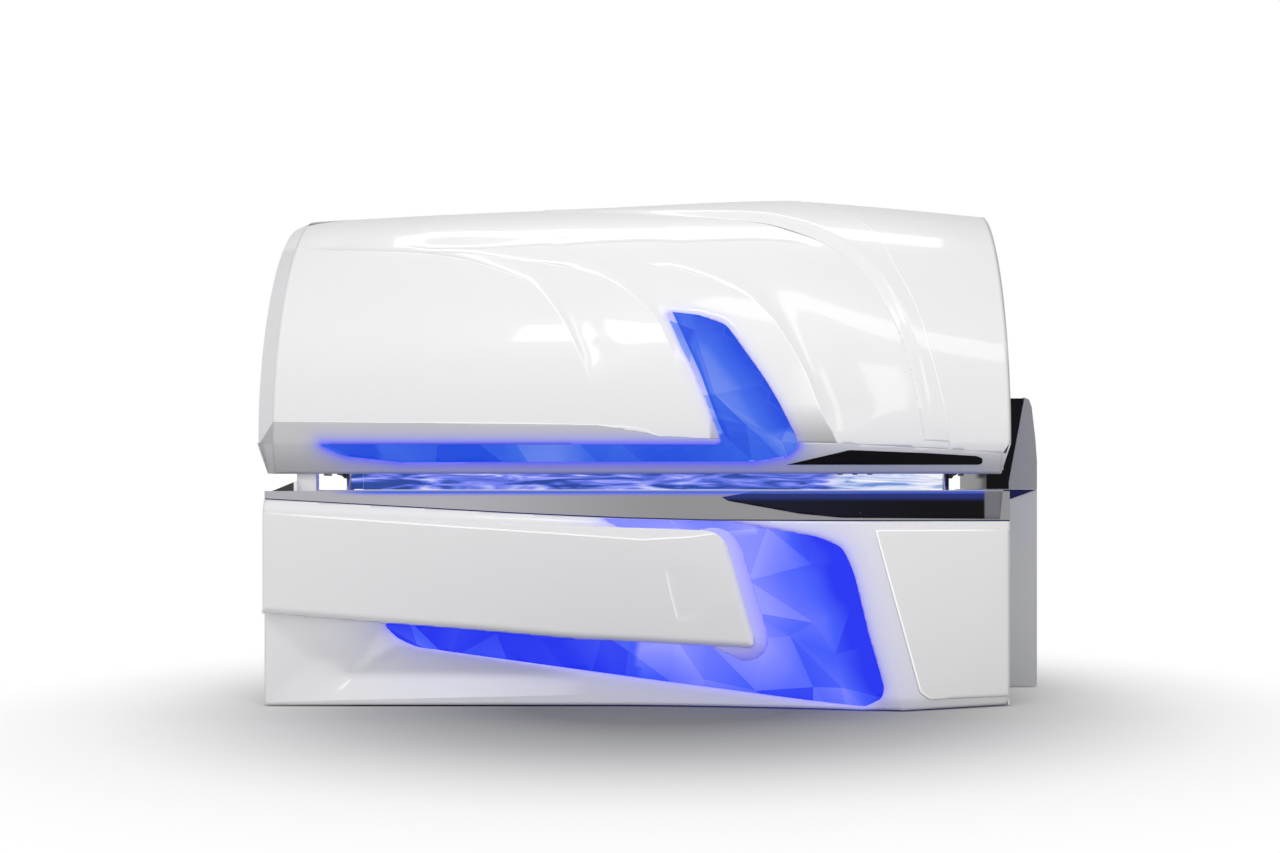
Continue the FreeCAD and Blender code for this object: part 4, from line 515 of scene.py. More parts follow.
def beside(line, gap):
    """Shift an open line sideways."""
    ends = [2 * line[0] - line[1]] + list(line) + [2 * line[-1] - line[-2]]
    moved = []
    for before, here, after in zip(ends, ends[1:], ends[2:]):
        along = (after - before).normalized()
        moved.append(here + Vector((-along.y, along.x)) * gap)
    return moved


def with_edges(lines):
    """Add the thin borders between which a bright line runs along each line."""
    return [moved for line in lines for moved in (line, beside(line, LINE_WIDTH), beside(line, -LINE_WIDTH))]


def bright(lines, strengths):
    """Mark thin lines of painted highlight where a crease or an edge catches the light."""
    def line_light(a, b):
        total = np.zeros(len(a))
        for line, strength in zip(lines, strengths):
            away, _, along = distance_to(line, a, b)
            ends = np.clip(np.minimum(along, 1 - along) / 0.15, 0, 1)
            total = np.maximum(total, strength * ends * np.clip(1 - away / LINE_WIDTH, 0, 1))
        return total
    return line_light


def halo(outline, width, most):
    """Fall off from an outline, for the light that a lens throws on its rim."""
    def glow(a, b):
        away = distance_to(outline, a, b, closed=True)[0]
        return most * np.exp(-away / width)
    return glow


# ---------------------------------------------------------------- materials

def srgb(red, green, blue):
    """Turn a colour as it is seen into the shader's linear one."""
    def linear(value):
        value /= 255
        return value / 12.92 if value <= 0.04045 else ((value + 0.055) / 1.055) ** 2.4
    return (linear(red), linear(green), linear(blue), 1.0)


def feed(tree, socket, source):
    """Link a socket to another node's output, or set it to a value."""
    if isinstance(source, bpy.types.NodeSocket):
        tree.links.new(source, socket)
    else:
        socket.default_value = source


def new_node(tree, kind, inputs=None, operation=None):
    """Add a shader node and feed its inputs."""
    node = tree.nodes.new("ShaderNode" + kind)
    if operation:
        node.operation = operation
    for label, source in (inputs or {}).items():
        feed(tree, node.inputs[label], source)
    return node


def new_group(name, inputs, outputs):
    """Start a group of nodes, and give its own inputs and outputs as sockets to work with."""
    group = bpy.data.node_groups.new(name, "ShaderNodeTree")
    for label, kind, value in inputs:
        socket = group.interface.new_socket(name=label, in_out="INPUT", socket_type=kind)
        if value is not None:
            socket.default_value = value
    for label, kind in outputs:
        group.interface.new_socket(name=label, in_out="OUTPUT", socket_type=kind)
    return group, group.nodes.new("NodeGroupInput").outputs, group.nodes.new("NodeGroupOutput").inputs


def make_grain():
    """Fine surface grain with slow drifts in gloss and colour, as on moulded and painted parts."""
    tree, given, result = new_group("surface_grain", [
        ("Vector", "NodeSocketVector", None), ("Grain", "NodeSocketFloat", 400.0),
        ("Drift", "NodeSocketFloat", 3.0), ("Roughness", "NodeSocketFloat", 0.3),
        ("Spread", "NodeSocketFloat", 0.05), ("Color", "NodeSocketColor", (0.8, 0.8, 0.8, 1)),
        ("Shade", "NodeSocketFloat", 0.03)],
        [("Color", "NodeSocketColor"), ("Roughness", "NodeSocketFloat"), ("Height", "NodeSocketFloat")])
    place = given["Vector"]
    fine = new_node(tree, "TexNoise", {"Vector": place, "Scale": given["Grain"], "Detail": 2})
    slow = new_node(tree, "TexNoise", {"Vector": place, "Scale": given["Drift"], "Detail": 3})
    drift = new_node(tree, "Math", {0: slow.outputs["Fac"], 1: 0.5}, "SUBTRACT").outputs[0]
    rough = new_node(tree, "Math", {0: drift, 1: given["Spread"], 2: given["Roughness"]}, "MULTIPLY_ADD")
    tone = new_node(tree, "Math", {0: drift, 1: given["Shade"], 2: 1.0}, "MULTIPLY_ADD")
    shade = new_node(tree, "VectorMath", {0: given["Color"], "Scale": tone.outputs[0]}, "SCALE")
    tree.links.new(shade.outputs[0], result["Color"])
    tree.links.new(rough.outputs[0], result["Roughness"])
    tree.links.new(fine.outputs["Fac"], result["Height"])
    return tree


GRAIN = make_grain()
ALONG = (1, 0, 0)
UP = (0, 0, 1)
LENS_TINT = srgb(144, 142, 255)


class Finish:
    """A material with its Principled shader and a short way to add nodes."""

    def __init__(self, name, color, roughness=0.3, grain=400, bump=0.0002, drift=3, spread=0.05, shade=0.03,
                 **sockets):
        self.material = bpy.data.materials.new(name)
        self.material.use_nodes = True
        self.tree = self.material.node_tree
        self.shader = self.tree.nodes["Principled BSDF"]
        self.place = self.node("TexCoord").outputs["Object"]
        surface = self.node("Group")
        surface.node_tree = GRAIN
        values = {"Vector": self.place, "Grain": grain, "Drift": drift, "Roughness": roughness,
                  "Spread": spread, "Color": color, "Shade": shade}
        for label, value in values.items():
            feed(self.tree, surface.inputs[label], value)
        for label, output in (("Base Color", "Color"), ("Roughness", "Roughness")):
            self.link(surface.outputs[output], self.shader.inputs[label])
        if bump:
            dents = self.node("Bump", {"Distance": bump, "Height": surface.outputs["Height"]})
            self.link(dents.outputs["Normal"], self.shader.inputs["Normal"])
        for label, value in sockets.items():
            self.shader.inputs[label.replace("_", " ")].default_value = value

    def node(self, kind, inputs=None, operation=None):
        return new_node(self.tree, kind, inputs, operation)

    def link(self, one, other):
        self.tree.links.new(one, other)

    def blend(self, mask, color, socket="Base Color"):
        """Lay a colour over what feeds a socket, as far as a mask goes."""
        mix = self.node("Mix")
        mix.data_type = "RGBA"
        target = self.shader.inputs[socket]
        under = target.links[0].from_socket if target.links else target.default_value
        for label, source in (("A", under), ("B", color), ("Factor", mask)):
            feed(self.tree, mix.inputs[label], source)
        self.link(mix.outputs["Result"], target)
        return self

    def light_up(self, mask, color, strength):
        """Let the surface shine in a colour, as far as a mask goes."""
        if not self.shader.inputs["Emission Color"].links:
            self.shader.inputs["Emission Color"].default_value = (0, 0, 0, 1)
        self.shader.inputs["Emission Strength"].default_value = strength
        return self.blend(mask, color, "Emission Color")

    def stored(self, name):
        """Read a value stored on the points of the piece."""
        value = self.node("Attribute")
        value.attribute_name = name
        return value.outputs["Fac"]

    def across(self, direction, start, end):
        """Fade from 0 to 1 between two distances along a direction."""
        along = self.node("VectorMath", {0: self.place, 1: direction}, "DOT_PRODUCT").outputs["Value"]
        near, far = sorted((start, end))
        fade = self.node("MapRange", {"Value": along, "From Min": near, "From Max": far,
                                      "To Min": float(start > end), "To Max": float(start < end)})
        fade.interpolation_type = "SMOOTHSTEP"
        return fade.outputs["Result"]

    def tint(self, direction, start, end, color):
        """Lay a colour over the surface beyond a distance along a direction."""
        return self.blend(self.across(direction, start, end), srgb(*color))

    def both(self, one, other):
        """Multiply two masks."""
        return self.node("Math", {0: one, 1: other}, "MULTIPLY").outputs[0]

    def ramp(self, value, stops):
        """Turn a value into a colour by its stops."""
        ramp = self.node("ValToRGB", {"Fac": value})
        elements = ramp.color_ramp.elements
        while len(elements) < len(stops):
            elements.new(0.5)
        for element, (position, color) in zip(elements, stops):
            element.position = position
            element.color = srgb(*color)
        return ramp.outputs["Color"]


def white_lacquer(name="white_lacquer", color=srgb(240, 240, 241)):
    return Finish(name, color, roughness=0.32, grain=260, bump=0.00005, spread=0.04, shade=0.015,
                  Coat_Weight=0.7, Coat_Roughness=0.05)


def lit_white():
    """White paint that takes on painted lens light at its rims, greys towards the skirt, and shines in thin
    painted highlights along creases and edges.
    """
    finish = white_lacquer("white_shell")
    finish.blend(finish.stored("shade"), srgb(150, 150, 154))
    finish.blend(finish.stored("glow"), LENS_TINT)
    finish.light_up(finish.stored("glow"), [0.3 * part for part in LENS_TINT[:3]] + [1], 1.0)
    # painted highlight: white emission along the stored crease and edge lines
    return finish.light_up(finish.stored("line"), (0.3, 0.3, 0.3, 1), 1.0).material


def lit_satin():
    """Satin grey that is paler towards the head end, darker at its foot by painted shade on the down-facing
    lower facet, and lit round the lens by painted lens light.
    """
    finish = Finish("satin_grey", srgb(200, 200, 202), roughness=0.38, grain=500, bump=0.0001,
                    Coat_Weight=0.2)
    finish.tint(ALONG, 0.2, 0.6, (226, 226, 228))
    # painted shade: the skirt's lower, down-facing facet is darkened
    finish.tint(UP, 0.772, 0.69, (176, 176, 180))
    finish.blend(finish.stored("glow"), srgb(80, 84, 232))
    return finish.light_up(finish.stored("glow"), srgb(80, 84, 232), 0.45).material


def end_white():
    """White moulding, greyer under its top by painted shade, whose lowest corner carries the skirt's grey and
    its painted shade on.
    """
    # painted shade: the white is greyed below its top, and the top is brought back to full white
    finish = white_lacquer("end_white", srgb(225, 225, 227))
    finish.tint(UP, 1.36, 1.385, (240, 240, 242))
    return finish.tint((-1.43, 0, 1), 2.461, 2.455, (176, 176, 179)).material


def lip_grey():
    """Grey moulding with the lens light along its top edge."""
    finish = Finish("lip_grey", srgb(184, 183, 190), roughness=0.3, grain=500, bump=0.0001, Coat_Weight=0.3)
    finish.tint(ALONG, -0.7, 0.1, (152, 151, 153))
    lit_part = finish.both(finish.across(ALONG, -1.0, -0.8), finish.across(ALONG, 0.96, 0.93))
    edge = finish.both(finish.across(UP, 0.610, 0.628), lit_part)
    rim = finish.both(finish.across(UP, 0.620, 0.623), lit_part)
    finish.blend(edge, srgb(90, 90, 200))
    finish.blend(rim, srgb(30, 50, 150))
    finish.light_up(edge, srgb(70, 74, 190), 0.7)
    return finish.light_up(rim, srgb(72, 104, 214), 0.7).material


def glossy_black(name):
    return Finish(name, srgb(9, 9, 13), roughness=0.12, grain=90, bump=0.00005, shade=0.2,
                  Specular_IOR_Level=0.12)


def strip_black():
    """Black glass with a greyer end, and a navy top third and blue top edge that are a painted reflection of
    the blue glow.
    """
    finish = glossy_black("strip_black")
    finish.tint(ALONG, 0.85, 0.2, (24, 24, 46))
    # painted reflection of the blue glow on the glass's top third and top edge
    finish.tint(UP, 0.597, 0.614, (42, 54, 124))
    finish.tint(UP, 0.620, 0.624, (70, 96, 200))
    return finish.tint(ALONG, 0.934, 0.941, (120, 121, 128)).material


def tube_light():
    """What shows through the gap, painted as light on the edge rail: tubes and their mirrors as long soft
    streaks, white near the head end.
    """
    finish = Finish("tube_light", srgb(40, 42, 80), roughness=0.4, bump=0)
    squeeze = finish.node("Mapping", {"Vector": finish.place, "Rotation": (0, 0.14, 0),
                                      "Scale": (4.5, 5, 42)})
    streak = finish.node("TexNoise", {"Vector": squeeze.outputs["Vector"], "Scale": 1.0, "Detail": 3,
                                      "Distortion": 1.4}).outputs["Fac"]
    blue = finish.ramp(streak, [(0.40, (40, 72, 150)), (0.50, (92, 114, 222)), (0.58, (136, 146, 240)),
                                (0.68, (204, 206, 250))])
    pale = finish.ramp(streak, [(0.36, (116, 148, 210)), (0.44, (184, 200, 236)), (0.52, (218, 224, 246)),
                                (0.62, (246, 247, 252))])
    finish.link(blue, finish.shader.inputs["Emission Color"])
    return finish.light_up(finish.across(ALONG, 0.52, 0.60), pale, 0.95).material


def post_white():
    """White post on the foot end, and the black wedge beside it."""
    return white_lacquer("post_white").tint(ALONG, -1.079, -1.081, (30, 28, 30)).material


def trim_black():
    """Black cheek, and the navy wedge under it."""
    return glossy_black("trim_black").tint(UP, 0.636, 0.632, (28, 30, 88)).material


def facet_glass(name, stops, contrast):
    """Lit blue plastic: each facet has its own shade, over the tone stored on its points."""
    finish = Finish(name, srgb(14, 22, 90), roughness=0.2, grain=60, bump=0, shade=0.2,
                    Emission_Strength=0.95, Specular_IOR_Level=0.2, Coat_Weight=0.12, Coat_Roughness=0.04)
    shades = {0: finish.stored("facet"), 1: contrast, 2: finish.stored("tone")}
    total = finish.node("Math", shades, "MULTIPLY_ADD").outputs[0]
    finish.link(finish.ramp(total, stops), finish.shader.inputs["Emission Color"])
    return finish.material


def plain(name, color, roughness, grain=400, bump=0.0001, **sockets):
    return Finish(name, srgb(*color), roughness=roughness, grain=grain, bump=bump, **sockets).material


def lit(name, color, strength):
    """A surface that shines evenly in its own colour."""
    return plain(name, color, 0.3, bump=0, Emission_Color=srgb(*color), Emission_Strength=strength)


WHITE = lit_white()
SATIN = lit_satin()
STRIP = strip_black()
TUBES = tube_light()
BASE_BLUE = facet_glass("base_lens_blue", [(0.0, (24, 44, 236)), (0.35, (66, 92, 248)),
                                           (0.7, (128, 136, 252)), (1.0, (172, 176, 255))], 0.11)
CANOPY_BLUE = facet_glass("canopy_lens_blue", [(0.0, (24, 74, 216)), (0.4, (60, 106, 226)),
                                               (0.75, (126, 152, 236)), (1.0, (200, 198, 252))], 0.09)
ACRYLIC = Finish("clear_acrylic", (0.9, 0.92, 1.0, 1), roughness=0.03, grain=30, bump=0.0002, spread=0.02,
                 Transmission_Weight=0.9, IOR=1.49).material

NODE_FINISH = {
    white_lacquer("white_plain").material:
        "base_end_caps canopy_front_cover canopy_head_cover canopy_arch base_lower_fascia base_front_cover "
        "base_right_panel",
    end_white(): "canopy_end_left canopy_end_right",
    post_white(): "canopy_rests",
    plain("silver_shell", (178, 180, 184), 0.32, 300, 0.00008, Coat_Weight=0.3):
        "canopy_rear_cover base_rear_cover",
    plain("pillar_light", (198, 199, 202), 0.34, 300, 0.00008, Coat_Weight=0.2): "pillar_lower",
    plain("pillar_dark", (160, 161, 165), 0.34, 300, 0.00008, Coat_Weight=0.2): "pillar_upper",
    SATIN: "canopy_skirt",
    lip_grey(): "base_lip",
    plain("plain_grey", (170, 170, 175), 0.35, 500): "base_rear_deck",
    glossy_black("black_gloss").material: "canopy_trim_plate",
    STRIP: "base_glass_strip",
    trim_black(): "pillar_black_trims",
    BASE_BLUE: "base_front_lens",
    CANOPY_BLUE: "canopy_lens",
    ACRYLIC: "bench_acrylic canopy_acrylic",
    lit("lamp_violet", (150, 140, 250), 1.0): "base_lamps canopy_lamps",
    lit("light_board", (120, 130, 255), 0.8): "canopy_light_board base_light_board",
    plain("slot_dark", (36, 48, 96), 0.2, bump=0): "slot_light",
    TUBES: "canopy_edge_rails",
    plain("reflector", (225, 226, 235), 0.12, 200, Metallic=1.0):
        "base_reflector canopy_reflector facial_lamp_units",
    plain("alloy", (200, 202, 206), 0.3, 500, Metallic=1.0): "acrylic_edge_profiles canopy_frame",
    plain("steel", (150, 150, 152), 0.28, 700, Metallic=1.0): "base_floor_pan control_box pivot_pins",
    plain("chrome", (215, 215, 220), 0.05, bump=0, Metallic=1.0): "gas_spring_rod_left gas_spring_rod_right",
    plain("bronze", (176, 132, 70), 0.35, 600, Metallic=1.0): "hinge_bushes",
    plain("frame_paint", (62, 64, 68), 0.45, 900, 0.0003): "base_frame hinge_brackets lift_arms ballasts",
    plain("rubber", (24, 24, 25), 0.7, 600, 0.0004): "levelling_feet mains_gland",
    plain("fan_black", (22, 22, 24), 0.5, 700, 0.0003):
        "base_fan_housing base_fan_rotor canopy_fan_housing canopy_fan_rotor gas_spring_cylinders",
    plain("grey_moulding", (190, 192, 200), 0.4, 500, 0.0002):
        "bench_end_mouldings tunnel_end_mouldings control_panel base_lamp_racks canopy_lamp_racks",
    plain("button_cap", (90, 92, 98), 0.4, 500, 0.0002): "button_start button_face button_air",
}


def dress_nodes():
    """Give each node of the frame its finish."""
    for material, names in NODE_FINISH.items():
        for name in names.split():
            data = nodes[name].data
            data.materials.clear()
            data.materials.append(material)


# ---------------------------------------------------------------- camera, light and floor

def make_camera():
    data = bpy.data.cameras.new("camera")
    data.lens = 54.225
    data.sensor_width = 36
    data.shift_x = -67 / 1280
    data.shift_y = 63.5 / 1280
    camera = add_object("camera", data)
    camera.location = (0.129, -6.180, 0.632)
    camera.rotation_euler = (math.radians(90), 0, 0)
    bpy.context.scene.camera = camera


def lamp(name, size, place, target, power, turn=0, shows=True):
    """Add a softbox; turn swings it about the vertical, and one that doesn't show leaves no mirror image."""
    data = bpy.data.lights.new(name, "AREA")
    data.shape = "RECTANGLE"
    data.size, data.size_y = size
    data.energy = power
    thing = add_object(name, data)
    thing.location = place
    aim = (Vector(target) - Vector(place)).to_track_quat("-Z", "Y").to_matrix()
    thing.rotation_euler = (aim @ Matrix.Rotation(math.radians(turn), 3, "Z")).to_euler()
    thing.visible_glossy = shows


def make_light():
    """Hang the softboxes, and light the rest by a sky that is dimmer overhead and looks plain white."""
    lamp("fill", (5.0, 2.0), (-1.1, -3.2, 4.6), (-0.2, -0.3, 1.0), 68, shows=False)
    lamp("front_low", (4.0, 1.4), (0.6, -5.6, 1.6), (0, 0, 0.6), 18, shows=False)
    lamp("top_strip", (2.7, 0.42), (0, 0.63, 3.8), (0, 0.2, 1.4), 12)
    lamp("window_right", (2.7, 0.5), (0.95, -2.6, 4.3), (0.6, -0.5, 1.1), 12, turn=-51)
    lamp("window_left", (0.8, 0.6), (-0.47, -2.9, 4.4), (-0.2, -0.5, 1.1), 8)
    lamp("window_low", (0.45, 1.4), (0.8, -3.7, 2.6), (0.6, -0.5, 0.95), 5)
    world = bpy.data.worlds.new("world")
    world.use_nodes = True
    bpy.context.scene.world = world
    tree = world.node_tree
    sky = new_node(tree, "TexCoord").outputs["Generated"]
    split = new_node(tree, "SeparateXYZ", {0: sky})
    height = new_node(tree, "MapRange", {"Value": split.outputs["Z"], "From Min": 0.1, "From Max": 1.0,
                                         "To Min": 0.76, "To Max": 0.34})
    ambient = tree.nodes["Background"]
    ambient.inputs["Color"].default_value = (1, 1, 1, 1)
    tree.links.new(height.outputs["Result"], ambient.inputs["Strength"])
    white = new_node(tree, "Background", {"Strength": 1.0, "Color": (1, 1, 1, 1)})
    mix = new_node(tree, "MixShader", {"Fac": seen_rays(tree), 1: ambient.outputs[0], 2: white.outputs[0]})
    tree.links.new(mix.outputs[0], tree.nodes["World Output"].inputs["Surface"])


def seen_rays(tree):
    """Tell the rays that the camera sees by, straight or through clear plastic."""
    rays = new_node(tree, "LightPath").outputs
    kinds = {0: rays["Is Camera Ray"], 1: rays["Is Transmission Ray"]}
    return new_node(tree, "Math", kinds, "MAXIMUM").outputs[0]


def floor_white():
    """White that takes the bed's real shadow close by, deepened by a painted shadow that darkens its colour
    near the bed, and fades to the plain white of the sky further out.
    """
    material = bpy.data.materials.new("floor_white")
    material.use_nodes = True
    tree = material.node_tree
    place = new_node(tree, "TexCoord").outputs["Object"]
    squeeze = new_node(tree, "Mapping", {"Vector": place, "Location": (0, 0.25, 0),
                                         "Scale": (1 / 1.58, 1 / 1.95, 1)})
    away = new_node(tree, "VectorMath", {0: squeeze.outputs["Vector"]}, "LENGTH").outputs["Value"]
    fade = new_node(tree, "MapRange", {"Value": away, "From Min": 0.5, "From Max": 1.4})
    fade.interpolation_type = "SMOOTHSTEP"
    # painted shadow: the floor's colour darkens towards the bed
    painted_shadow = new_node(tree, "MapRange", {"Value": away, "From Min": 0.25, "From Max": 1.0, "To Min": 0.25,
                                      "To Max": 0.9})
    shader = tree.nodes["Principled BSDF"]
    finish = {"Base Color": painted_shadow.outputs["Result"], "Roughness": 0.9, "Specular IOR Level": 0.0}
    for label, source in finish.items():
        feed(tree, shader.inputs[label], source)
    white = new_node(tree, "Emission", {"Strength": 1.0})
    far = new_node(tree, "Math", {0: seen_rays(tree), 1: fade.outputs["Result"]}, "MULTIPLY")
    mix = new_node(tree, "MixShader", {"Fac": far.outputs[0], 1: shader.outputs[0], 2: white.outputs[0]})
    tree.links.new(mix.outputs[0], tree.nodes["Material Output"].inputs["Surface"])
    return material


def make_floor():
    bm = bmesh.new()
    bmesh.ops.create_grid(bm, x_segments=4, y_segments=4, size=30)
    mesh_object("floor", bm, floor_white())


# ---------------------------------------------------------------- canopy

CANOPY = (canopy_skin, "canopy")
BASE = (front_skin, "root")
LENS_LINE = rounded(on_canopy(CANOPY_LENS))
FOLDS = {name: (smooth_line(on_canopy(line)), depth, width) for name, (line, depth, width) in CREASES.items()}
EDGE_LINE = vectors(on_canopy(COVER_EDGE))
EDGE_INNER = [point for point in EDGE_LINE if COVER_LEFT < point.x < COVER_RIGHT - BEYOND]
ARCH_IN = smooth_line(on_canopy(ARCH_LEFT))
ARCH_OUT = smooth_line(on_canopy(ARCH_RIGHT))


def drawn_in(outline, a, b, rim):
    """Give how far a skin is drawn in round an opening, by the rim's width and depth."""
    width, depth = rim
    away = distance_to(outline, a, b, closed=True)[0]
    return depth * np.clip(1 - away / width, 0, 1) ** 2


def canopy_relief(a, b):
    """Add up the creases of the front cover, and draw its skin in round the lens."""
    total = np.zeros(len(a))
    for line, depth, width in FOLDS.values():
        total += fold(line, depth, width)(a, b)
    return total - drawn_in(LENS_LINE, a, b, CANOPY_LENS_RIM)


def cover_outline():
    """Close the whole white area of the canopy's front, from its lower edge to the top seam."""
    across, down = SEAM_CORNER
    seam = RUN * math.acos((down / (APEX - FRONT)) ** (PROFILE_POWER / 2))
    return ([Vector((COVER_LEFT, EDGE_LINE[0].y))] + EDGE_INNER
            + vectors([(COVER_RIGHT - FOOT_CORNER, EDGE_LINE[-1].y), (COVER_RIGHT, WIDEST - SHOULDER),
                       (COVER_RIGHT, TOP_RUN), (COVER_LEFT + across, TOP_RUN), (COVER_LEFT, seam)]))


def cover_shade(a, b):
    """Grey the foot of the band between the lens and the head sweep, as it runs down into the skirt."""
    under = distance_to(FOLDS["head_sweep"][0], a, b)[1] < 0
    under &= a > CANOPY_LEFT + 0.6 * CANOPY_LENGTH
    return np.where(under, np.clip((0.10 - b) / 0.16, 0, 1), 0)


def make_skin(name, place, outline, relief, stands_for=(), material=WHITE, wall=SHELL_WALL, cell=CELL,
              holes=(), lines=(), sharp=40, **values):
    """Cut a sheet, lift it to its place on the bed and finish it as a piece."""
    skin, body = place
    bm = cut_sheet(outline, cell, holes, lines)
    lift(bm, skin, relief, **values)
    piece(name, bm, body, material, wall, stands_for, sharp)


def painted(a, b):
    """Lay a thin skin just over the solid."""
    return np.full(len(a), SKIN_PROUD)


def make_canopy():
    """Make the front cover, the head cover and the ribbon over them, as skins that meet at their seams."""
    whole = cover_outline()
    far_right = COVER_RIGHT + 0.05
    head_line = vectors([(ARCH_OUT[0].x, TOP_RUN + BEYOND), *ARCH_OUT, (ARCH_OUT[-1].x + 0.002, FAR_BELOW)])
    head = head_line + vectors([(far_right, FAR_BELOW), (far_right, TOP_RUN + BEYOND)])
    lower = [point + Vector((0, 0.001)) for point in smooth_line(on_canopy(COVER_EDGE[:4] + [LENS_CORNER]))]
    creases = [FOLDS[name][0] for name in ("foot_sweep", "middle_sweep", "head_sweep", "foot_hook")] + [lower]
    make_skin("canopy_cover_shell", CANOPY, whole, canopy_relief, ["canopy_front_cover"],
              holes=[LENS_LINE, head], lines=with_edges(creases) + [FOLDS["upper_line"][0]],
              glow=halo(LENS_LINE, 0.012, 0.5), shade=cover_shade,
              line=bright(creases, (0.8, 0.4, 0.7, 0.5, 0.9)))

    bm = cut_sheet(whole, CELL, lines=[head_line])
    trim(bm, head)
    lift(bm, canopy_skin, head_relief)
    piece("canopy_head_shell", bm, "canopy", WHITE, SHELL_WALL, stands_for=["canopy_head_cover"])

    ribbon = [Vector((ARCH_IN[0].x, TOP_RUN))] + ARCH_IN + ARCH_OUT[::-1]
    ribbon = [Vector((point.x, min(point.y, TOP_RUN))) for point in ribbon]
    edge = [beside(ARCH_OUT, -ARCH_CRISP)]
    make_skin("canopy_arch_ribbon", CANOPY, ribbon, arch_relief, ["canopy_arch"], wall=RIBBON_WALL,
              cell=0.008, lines=with_edges(edge), line=bright(edge, (0.8,)))


def head_relief(a, b):
    """Lift the head cover, and let it fall to the seam over the ridge and to its own foot."""
    share = np.clip((TOP_RUN - b) / RIDGE_FALL, 0, 1)
    crown = np.sqrt(np.clip(1 - (1 - share) ** 2, 0, 1))
    return lift_at(a) * crown * eased((b - HEAD_FOOT) / HEAD_CLIMB)


def arch_relief(a, b):
    """Lift the ribbon with the covers behind it, softly on its foot side and crisply on its head side."""
    full = head_relief(a, b) + RIBBON_PROUD * np.clip((b - ARCH_OUT[-1].y) / 0.05, 0, 1)
    crisp = np.clip(distance_to(ARCH_OUT, a, b)[0] / ARCH_CRISP, 0, 1)
    swell = eased(distance_to(ARCH_IN, a, b)[0] / ARCH_SOFT)
    return 0.0004 + full * swell - 0.0010 * (1 - crisp) * swell


def make_skirt():
    """Make the painted skin of the skirt's front, with the lens opening in it."""
    low = CANOPY_BOTTOM - SHOULDER
    outline = ([Vector((COVER_LEFT, EDGE_LINE[0].y - SKIN_GAP))]
               + [point - Vector((0, SKIN_GAP)) for point in EDGE_INNER]
               + vectors([(COVER_RIGHT - BEYOND, EDGE_LINE[-1].y), (COVER_RIGHT - 0.022, low),
                          (COVER_LEFT, low)]))
    make_skin("canopy_skirt_skin", CANOPY, outline, painted, material=SATIN, wall=SKIN_WALL,
              holes=[LENS_LINE], glow=halo(LENS_LINE, 0.018, 1.0))


def make_lens(name, place, outline, cell, seed, material, stands_for, tone, tip=(), lines=()):
    """Make a lens of big uneven triangles, each with its own shade, over a tone stored on its points.

    The lens lies sunk in its opening, and comes up to the skin before the tip, if it has one.
    """
    chance = random.Random(seed)
    skin, body = place
    bm = grid_over(outline, cell, spread=1.2)
    for vert in bm.verts:
        vert.co.x += chance.uniform(-FACET_JITTER, FACET_JITTER) * cell
        vert.co.y += chance.uniform(-FACET_JITTER, FACET_JITTER) * cell
    bmesh.ops.triangulate(bm, faces=bm.faces[:], quad_method="ALTERNATE")
    facet = bm.faces.layers.float.new("facet")
    for face in bm.faces:
        face[facet] = chance.gauss(0, 1)
    drift = bm.verts.layers.float.new("drift")
    for vert in bm.verts:
        vert[drift] = chance.uniform(-FACET_DRIFT, FACET_DRIFT)
    bmesh.ops.subdivide_edges(bm, edges=bm.edges[:], cuts=7, use_grid_fill=True)
    for line in lines:
        cut_along(bm, line, False, cell / 5)
    cut_along(bm, outline, True, cell / 5)
    trim(bm, outline)
    drifts = np.array([vert[drift] for vert in bm.verts])

    def sunk(a, b):
        return np.interp(a, tip, [0.0006, -LENS_SUNK]) if tip else np.full(len(a), -LENS_SUNK)

    lift(bm, skin, sunk, tone=lambda a, b: tone(a, b) + drifts)
    piece(name, bm, body, material, THIN_WALL, stands_for=stands_for)


def near_line(line, a, b, reach):
    """Fall off from 1 on a line to 0 at a distance."""
    return np.clip(1 - distance_to(line, a, b)[0] / reach, 0, 1)


INNER = vectors(on_canopy(LENS_INNER))
OUTER = vectors(on_canopy(CANOPY_LENS[1:8]))


def canopy_tone(a, b):
    """Shade of the canopy lens: deep up its outer side, a pale strip and a dark line on its inner one."""
    along = (a - CANOPY_LEFT) / CANOPY_LENGTH
    inner = distance_to(INNER, a, b)[0]
    pale = np.interp(inner, [0, STRIP_WIDTH, STRIP_WIDTH + STRIP_EDGE, STRIP_WIDTH + 4 * STRIP_EDGE],
                     [0.45, 0.35, -0.35, 0])
    upper = 0.48 - 0.9 * (along - 0.6) - 0.55 * near_line(OUTER, a, b, 0.10) + pale
    return np.where(b < 0, 0.26 + 0.12 * np.sin(along * 21) - 0.2 * (along < 0.16), upper)


def base_tone(a, b):
    """Shade of the base lens: deep at the foot end and along the outer edge, pale by the cover."""
    along = (a - BASE_LEFT) / BASE_LENGTH
    spot = np.exp(-((a - DEEP_SPOT[0]) ** 2 + (b - DEEP_SPOT[1]) ** 2) / 0.09 ** 2)
    middle = (0.40 + 0.15 * b / DECK - 0.45 * near_line(BASE_OUTER, a, b, 0.11) - 0.26 * spot
              + 0.3 * near_line(COVER_SIDE, a, b, 0.13))
    foot = np.where(along < 0.5, np.minimum(middle, 0.9 * along - 0.16), middle)
    return np.where((b > 0.80 * DECK) & (along < 0.66), 0.9, foot)


# ---------------------------------------------------------------- base front

